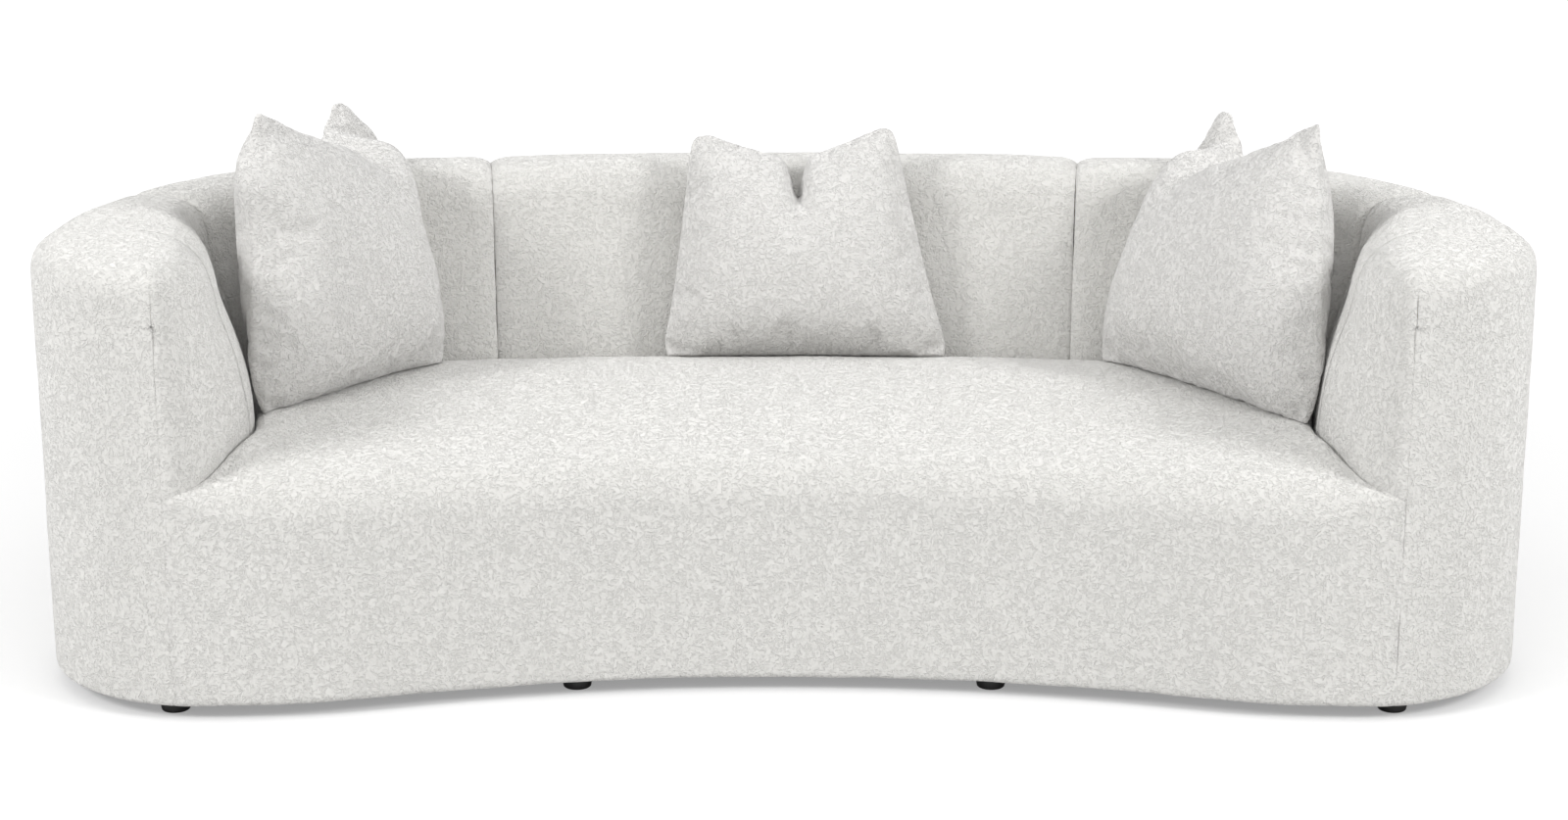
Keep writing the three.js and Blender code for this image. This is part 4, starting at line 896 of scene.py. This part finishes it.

# Pillows.
# Three loose knife-edged pillows of the same boucle, filled with soft fibre: two square ones turned in by the
# arms and a lower one in the middle. Their corners stand up as ears, and a chop folds each top edge down.
# The pillows' second colour is likewise painted shade for the hollows of the pile.
pillow_white, pillow_painted_shade = (0.79, 0.781, 0.765, 1.0), (0.735, 0.726, 0.709, 1.0)
pillow_boucle = boucle_material("boucle on the pillows", 160.0, 0.0024, pillow_white, pillow_painted_shade)
pillow_cuts = 72
pillow_clearance = 0.001
edge_weld = 0.0002
fill_pressure, fill_frames, furthest_move = 3.5, 20, 0.02
seat_surface = BVHTree.FromPolygons([v.co for v in seat.data.vertices], [tuple(p.vertices) for p in seat.data.polygons])


def seat_top(spot):
    """The height of the seat's cloth under a spot."""
    hit = seat_surface.ray_cast(Vector((spot.x, spot.y, 0.6)), Vector((0.0, 0.0, -1.0)))[0]
    return hit.z if hit else seat_level


def across_cloth(step):
    """Where a thread lies in the cloth, from -1 to 1, closer together towards the sewn edges."""
    share = step / pillow_cuts
    return 0.65 * (2.0 * share - 1.0) - 0.35 * math.cos(math.pi * share)


def pillow_point(look, u, v, swell):
    """A point of the cloth by its place in the square, swelled out of the sheet between its corners, and its facing."""
    low_left, low_right = look["low"]
    high_left, high_right = [Vector(corner) for corner in look["high"]]
    up = (v + 1.0) / 2.0
    blunt = 1.0 - 0.05 * abs(u * v) ** 14
    taper = look["taper"] * math.exp(-((v - 0.74) / 0.2) ** 2) * (u * look["drift"] < 0)
    across = (u * blunt * (1.0 - taper + look["bow"] * (1.0 - v * v) * (1.0 - 0.5 * v)) + 1.0) / 2.0
    low, high = low_left.lerp(low_right, across), high_left.lerp(high_right, across)
    facing = (low_right - low_left).lerp(high_right - high_left, up).cross(high - low).normalized()
    from_chop = u - look["chop_at"]
    fold = max(0.0, 1.0 - abs(from_chop) / look["chop_widths"][from_chop > 0])
    notch = max(0.0, 1.0 - abs(from_chop) / 0.12)
    plump = (1.0 - abs(u) ** 2.3) * (1.0 - abs(v) ** 2.3)
    fullness = 0.55 if swell > 0 else 0.8
    full = max(plump, 0.0) ** fullness * (1.0 - 0.05 * v) * (1.0 - 0.3 * fold ** 2 * up ** 3)
    if swell > 0:
        beyond = (from_chop - look["drift"] * (1.0 - up)) * math.copysign(1.0, look["drift"])
        full *= 1.0 - look["ear_flat"] * eased(0.35 + beyond / 0.2)
        shoulder = math.exp(-((abs(u) - 0.7) / 0.25) ** 2 - ((v - 0.35) / 0.3) ** 2)
        swell += look["shoulder"] * shoulder * (u * look["drift"] > 0)
    spot = low.lerp(high, mix(0.5, up, blunt) if v > 0 else up) + facing * swell * full
    side = max(0.0, math.copysign(u, look["drift"]))
    bowed = math.exp(-((v - 0.62) / 0.26) ** 2)
    spot += (low_right - low_left) * math.copysign(look["side_bow"], u) * side ** 3 * bowed
    spot.z -= look["chop_depth"] * fold * up ** look["chop_length"] + look["notch"] * notch * up ** 7
    spot.z -= look["ear_rise"] * (1.0 - u ** 6) * up ** 6
    return spot, facing


def furrow_depth(look, u, v):
    """How far the chop's crease pushes the filled cloth in, along a line from the valley down to one side."""
    up = (v + 1.0) / 2.0
    away = u - look["chop_at"] - look["drift"] * (1.0 - up)
    width = look["furrow_width"]
    ends = eased((up - look["furrow_end"]) / 0.2) * eased((1.0 - abs(v)) / look["furrow_start"])
    fade = ends * eased((1.0 - abs(u)) / 0.12)
    return look["furrow"] * fade * math.exp(-abs(away / width) ** 1.3)


def plump_up(piece, sewn):
    """Fills the pillow: its cloth is cut a little larger than its form, held at the sewn edge, and swells."""
    start = [v.co.copy() for v in piece.data.vertices]
    edge = piece.vertex_groups.new(name="sewn edge")
    edge.add(sewn, 1.0, "REPLACE")
    cloth = piece.modifiers.new("fill", "CLOTH")
    cloth.settings.use_pressure = True
    cloth.settings.uniform_pressure_force = fill_pressure
    cloth.settings.vertex_group_mass = "sewn edge"
    cloth.settings.pin_stiffness = 1.0
    cloth.settings.shrink_min = -0.03
    cloth.settings.bending_stiffness = 0.5
    cloth.settings.tension_stiffness = 15.0
    cloth.settings.compression_stiffness = 15.0
    cloth.settings.effector_weights.gravity = 0.0
    cloth.point_cache.frame_start, cloth.point_cache.frame_end = 1, fill_frames
    for frame_number in range(1, fill_frames + 1):
        bpy.context.scene.frame_set(frame_number)
    filled = [v.co.copy() for v in piece.evaluated_get(bpy.context.evaluated_depsgraph_get()).data.vertices]
    piece.modifiers.remove(cloth)
    piece.vertex_groups.remove(edge)
    bpy.context.scene.frame_set(1)
    for vert, before, after in zip(piece.data.vertices, start, filled):
        move = after - before
        vert.co = before + move * min(1.0, furthest_move / max(move.length, 1e-9))


def make_pillow(name, look):
    """One pillow from its corners and the numbers of its form, lying on the seat."""
    lows = [Vector((x, y, seat_top(Vector((x, y, 0.0))) + pillow_clearance)) for x, y in look["low"]]
    look = {**look, "low": lows}
    shape = bmesh.new()
    sewn = shape.verts.layers.float.new("sewn")
    push = shape.verts.layers.float_vector.new("push")
    for swell in (look["front"], -look["back"]):
        laid = bmesh.ops.create_grid(shape, x_segments=pillow_cuts, y_segments=pillow_cuts, size=0.5)
        for vert in laid["verts"]:
            u, v = [across_cloth((along + 0.5) * pillow_cuts) for along in vert.co.xy]
            vert.co, facing = pillow_point(look, u, v, swell)
            vert[sewn] = float(max(abs(u), abs(v)) > 0.999)
            vert[push] = facing * -math.copysign(furrow_depth(look, u, v), swell)
    border = [vert for vert in shape.verts if vert[sewn]]
    bmesh.ops.remove_doubles(shape, verts=border, dist=edge_weld)
    bmesh.ops.recalc_face_normals(shape, faces=shape.faces)
    foremost = min(shape.faces, key=lambda face: face.calc_center_median().y)
    if foremost.normal.y > 0:
        bmesh.ops.reverse_faces(shape, faces=shape.faces)
    piece = shaped(f"{name}_filled", shape, pillow_boucle)
    marks = piece.data.attributes
    plump_up(piece, [i for i, mark in enumerate(marks["sewn"].data) if mark.value > 0.5])
    for vert in piece.data.vertices:
        vert.co += marks["push"].data[vert.index].vector
        vert.co.z = max(vert.co.z, seat_top(vert.co) + pillow_clearance)
    for mark in ("sewn", "push"):
        marks.remove(marks[mark])
    smooth = piece.modifiers.new("smooth", "SUBSURF")
    smooth.levels = smooth.render_levels = 1
    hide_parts(name)
    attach(piece, f"{name}_body")


make_pillow("left_pillow", {
    "low": ((-0.922, -0.205), (-0.641, 0.197)), "high": ((-0.913, -0.15, 0.967), (-0.845, 0.365, 0.9)),
    "front": 0.118, "back": 0.104, "bow": 0.09, "taper": 0.11, "shoulder": 0.026, "side_bow": 0.1, "ear_rise": 0.014,
    "chop_at": 0.42, "chop_depth": 0.066, "chop_widths": (1.42, 0.36), "chop_length": 3, "notch": 0.0,
    "ear_flat": 0.85, "furrow": 0.012, "furrow_width": 0.08, "furrow_start": 0.3, "furrow_end": 0.55, "drift": 1.7,
})
make_pillow("right_pillow", {
    "low": ((0.599, 0.226), (0.912, -0.29)), "high": ((0.834, 0.365, 0.884), (0.932, -0.15, 0.948)),
    "front": 0.116, "back": 0.1, "bow": 0.065, "taper": 0.05, "shoulder": 0.01, "side_bow": 0.05, "ear_rise": 0.014,
    "chop_at": -0.42, "chop_depth": 0.088, "chop_widths": (0.36, 1.42), "chop_length": 3, "notch": 0.0,
    "ear_flat": 0.8, "furrow": 0.012, "furrow_width": 0.08, "furrow_start": 0.3, "furrow_end": 0.55, "drift": -1.7,
})
make_pillow("center_pillow", {
    "low": ((-0.235, 0.25), (0.318, 0.25)), "high": ((-0.176, 0.352, 0.835), (0.208, 0.358, 0.851)),
    "front": 0.104, "back": 0.024, "bow": -0.02, "taper": 0.0, "shoulder": 0.0, "side_bow": 0.0, "ear_rise": 0.008,
    "chop_at": 0.03, "chop_depth": 0.056, "chop_widths": (0.85, 0.85), "chop_length": 4, "notch": 0.125,
    "ear_flat": 0.0, "furrow": 0.05, "furrow_width": 0.05, "furrow_start": 0.1, "furrow_end": 0.66, "drift": 0.0,
})

low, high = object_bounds()
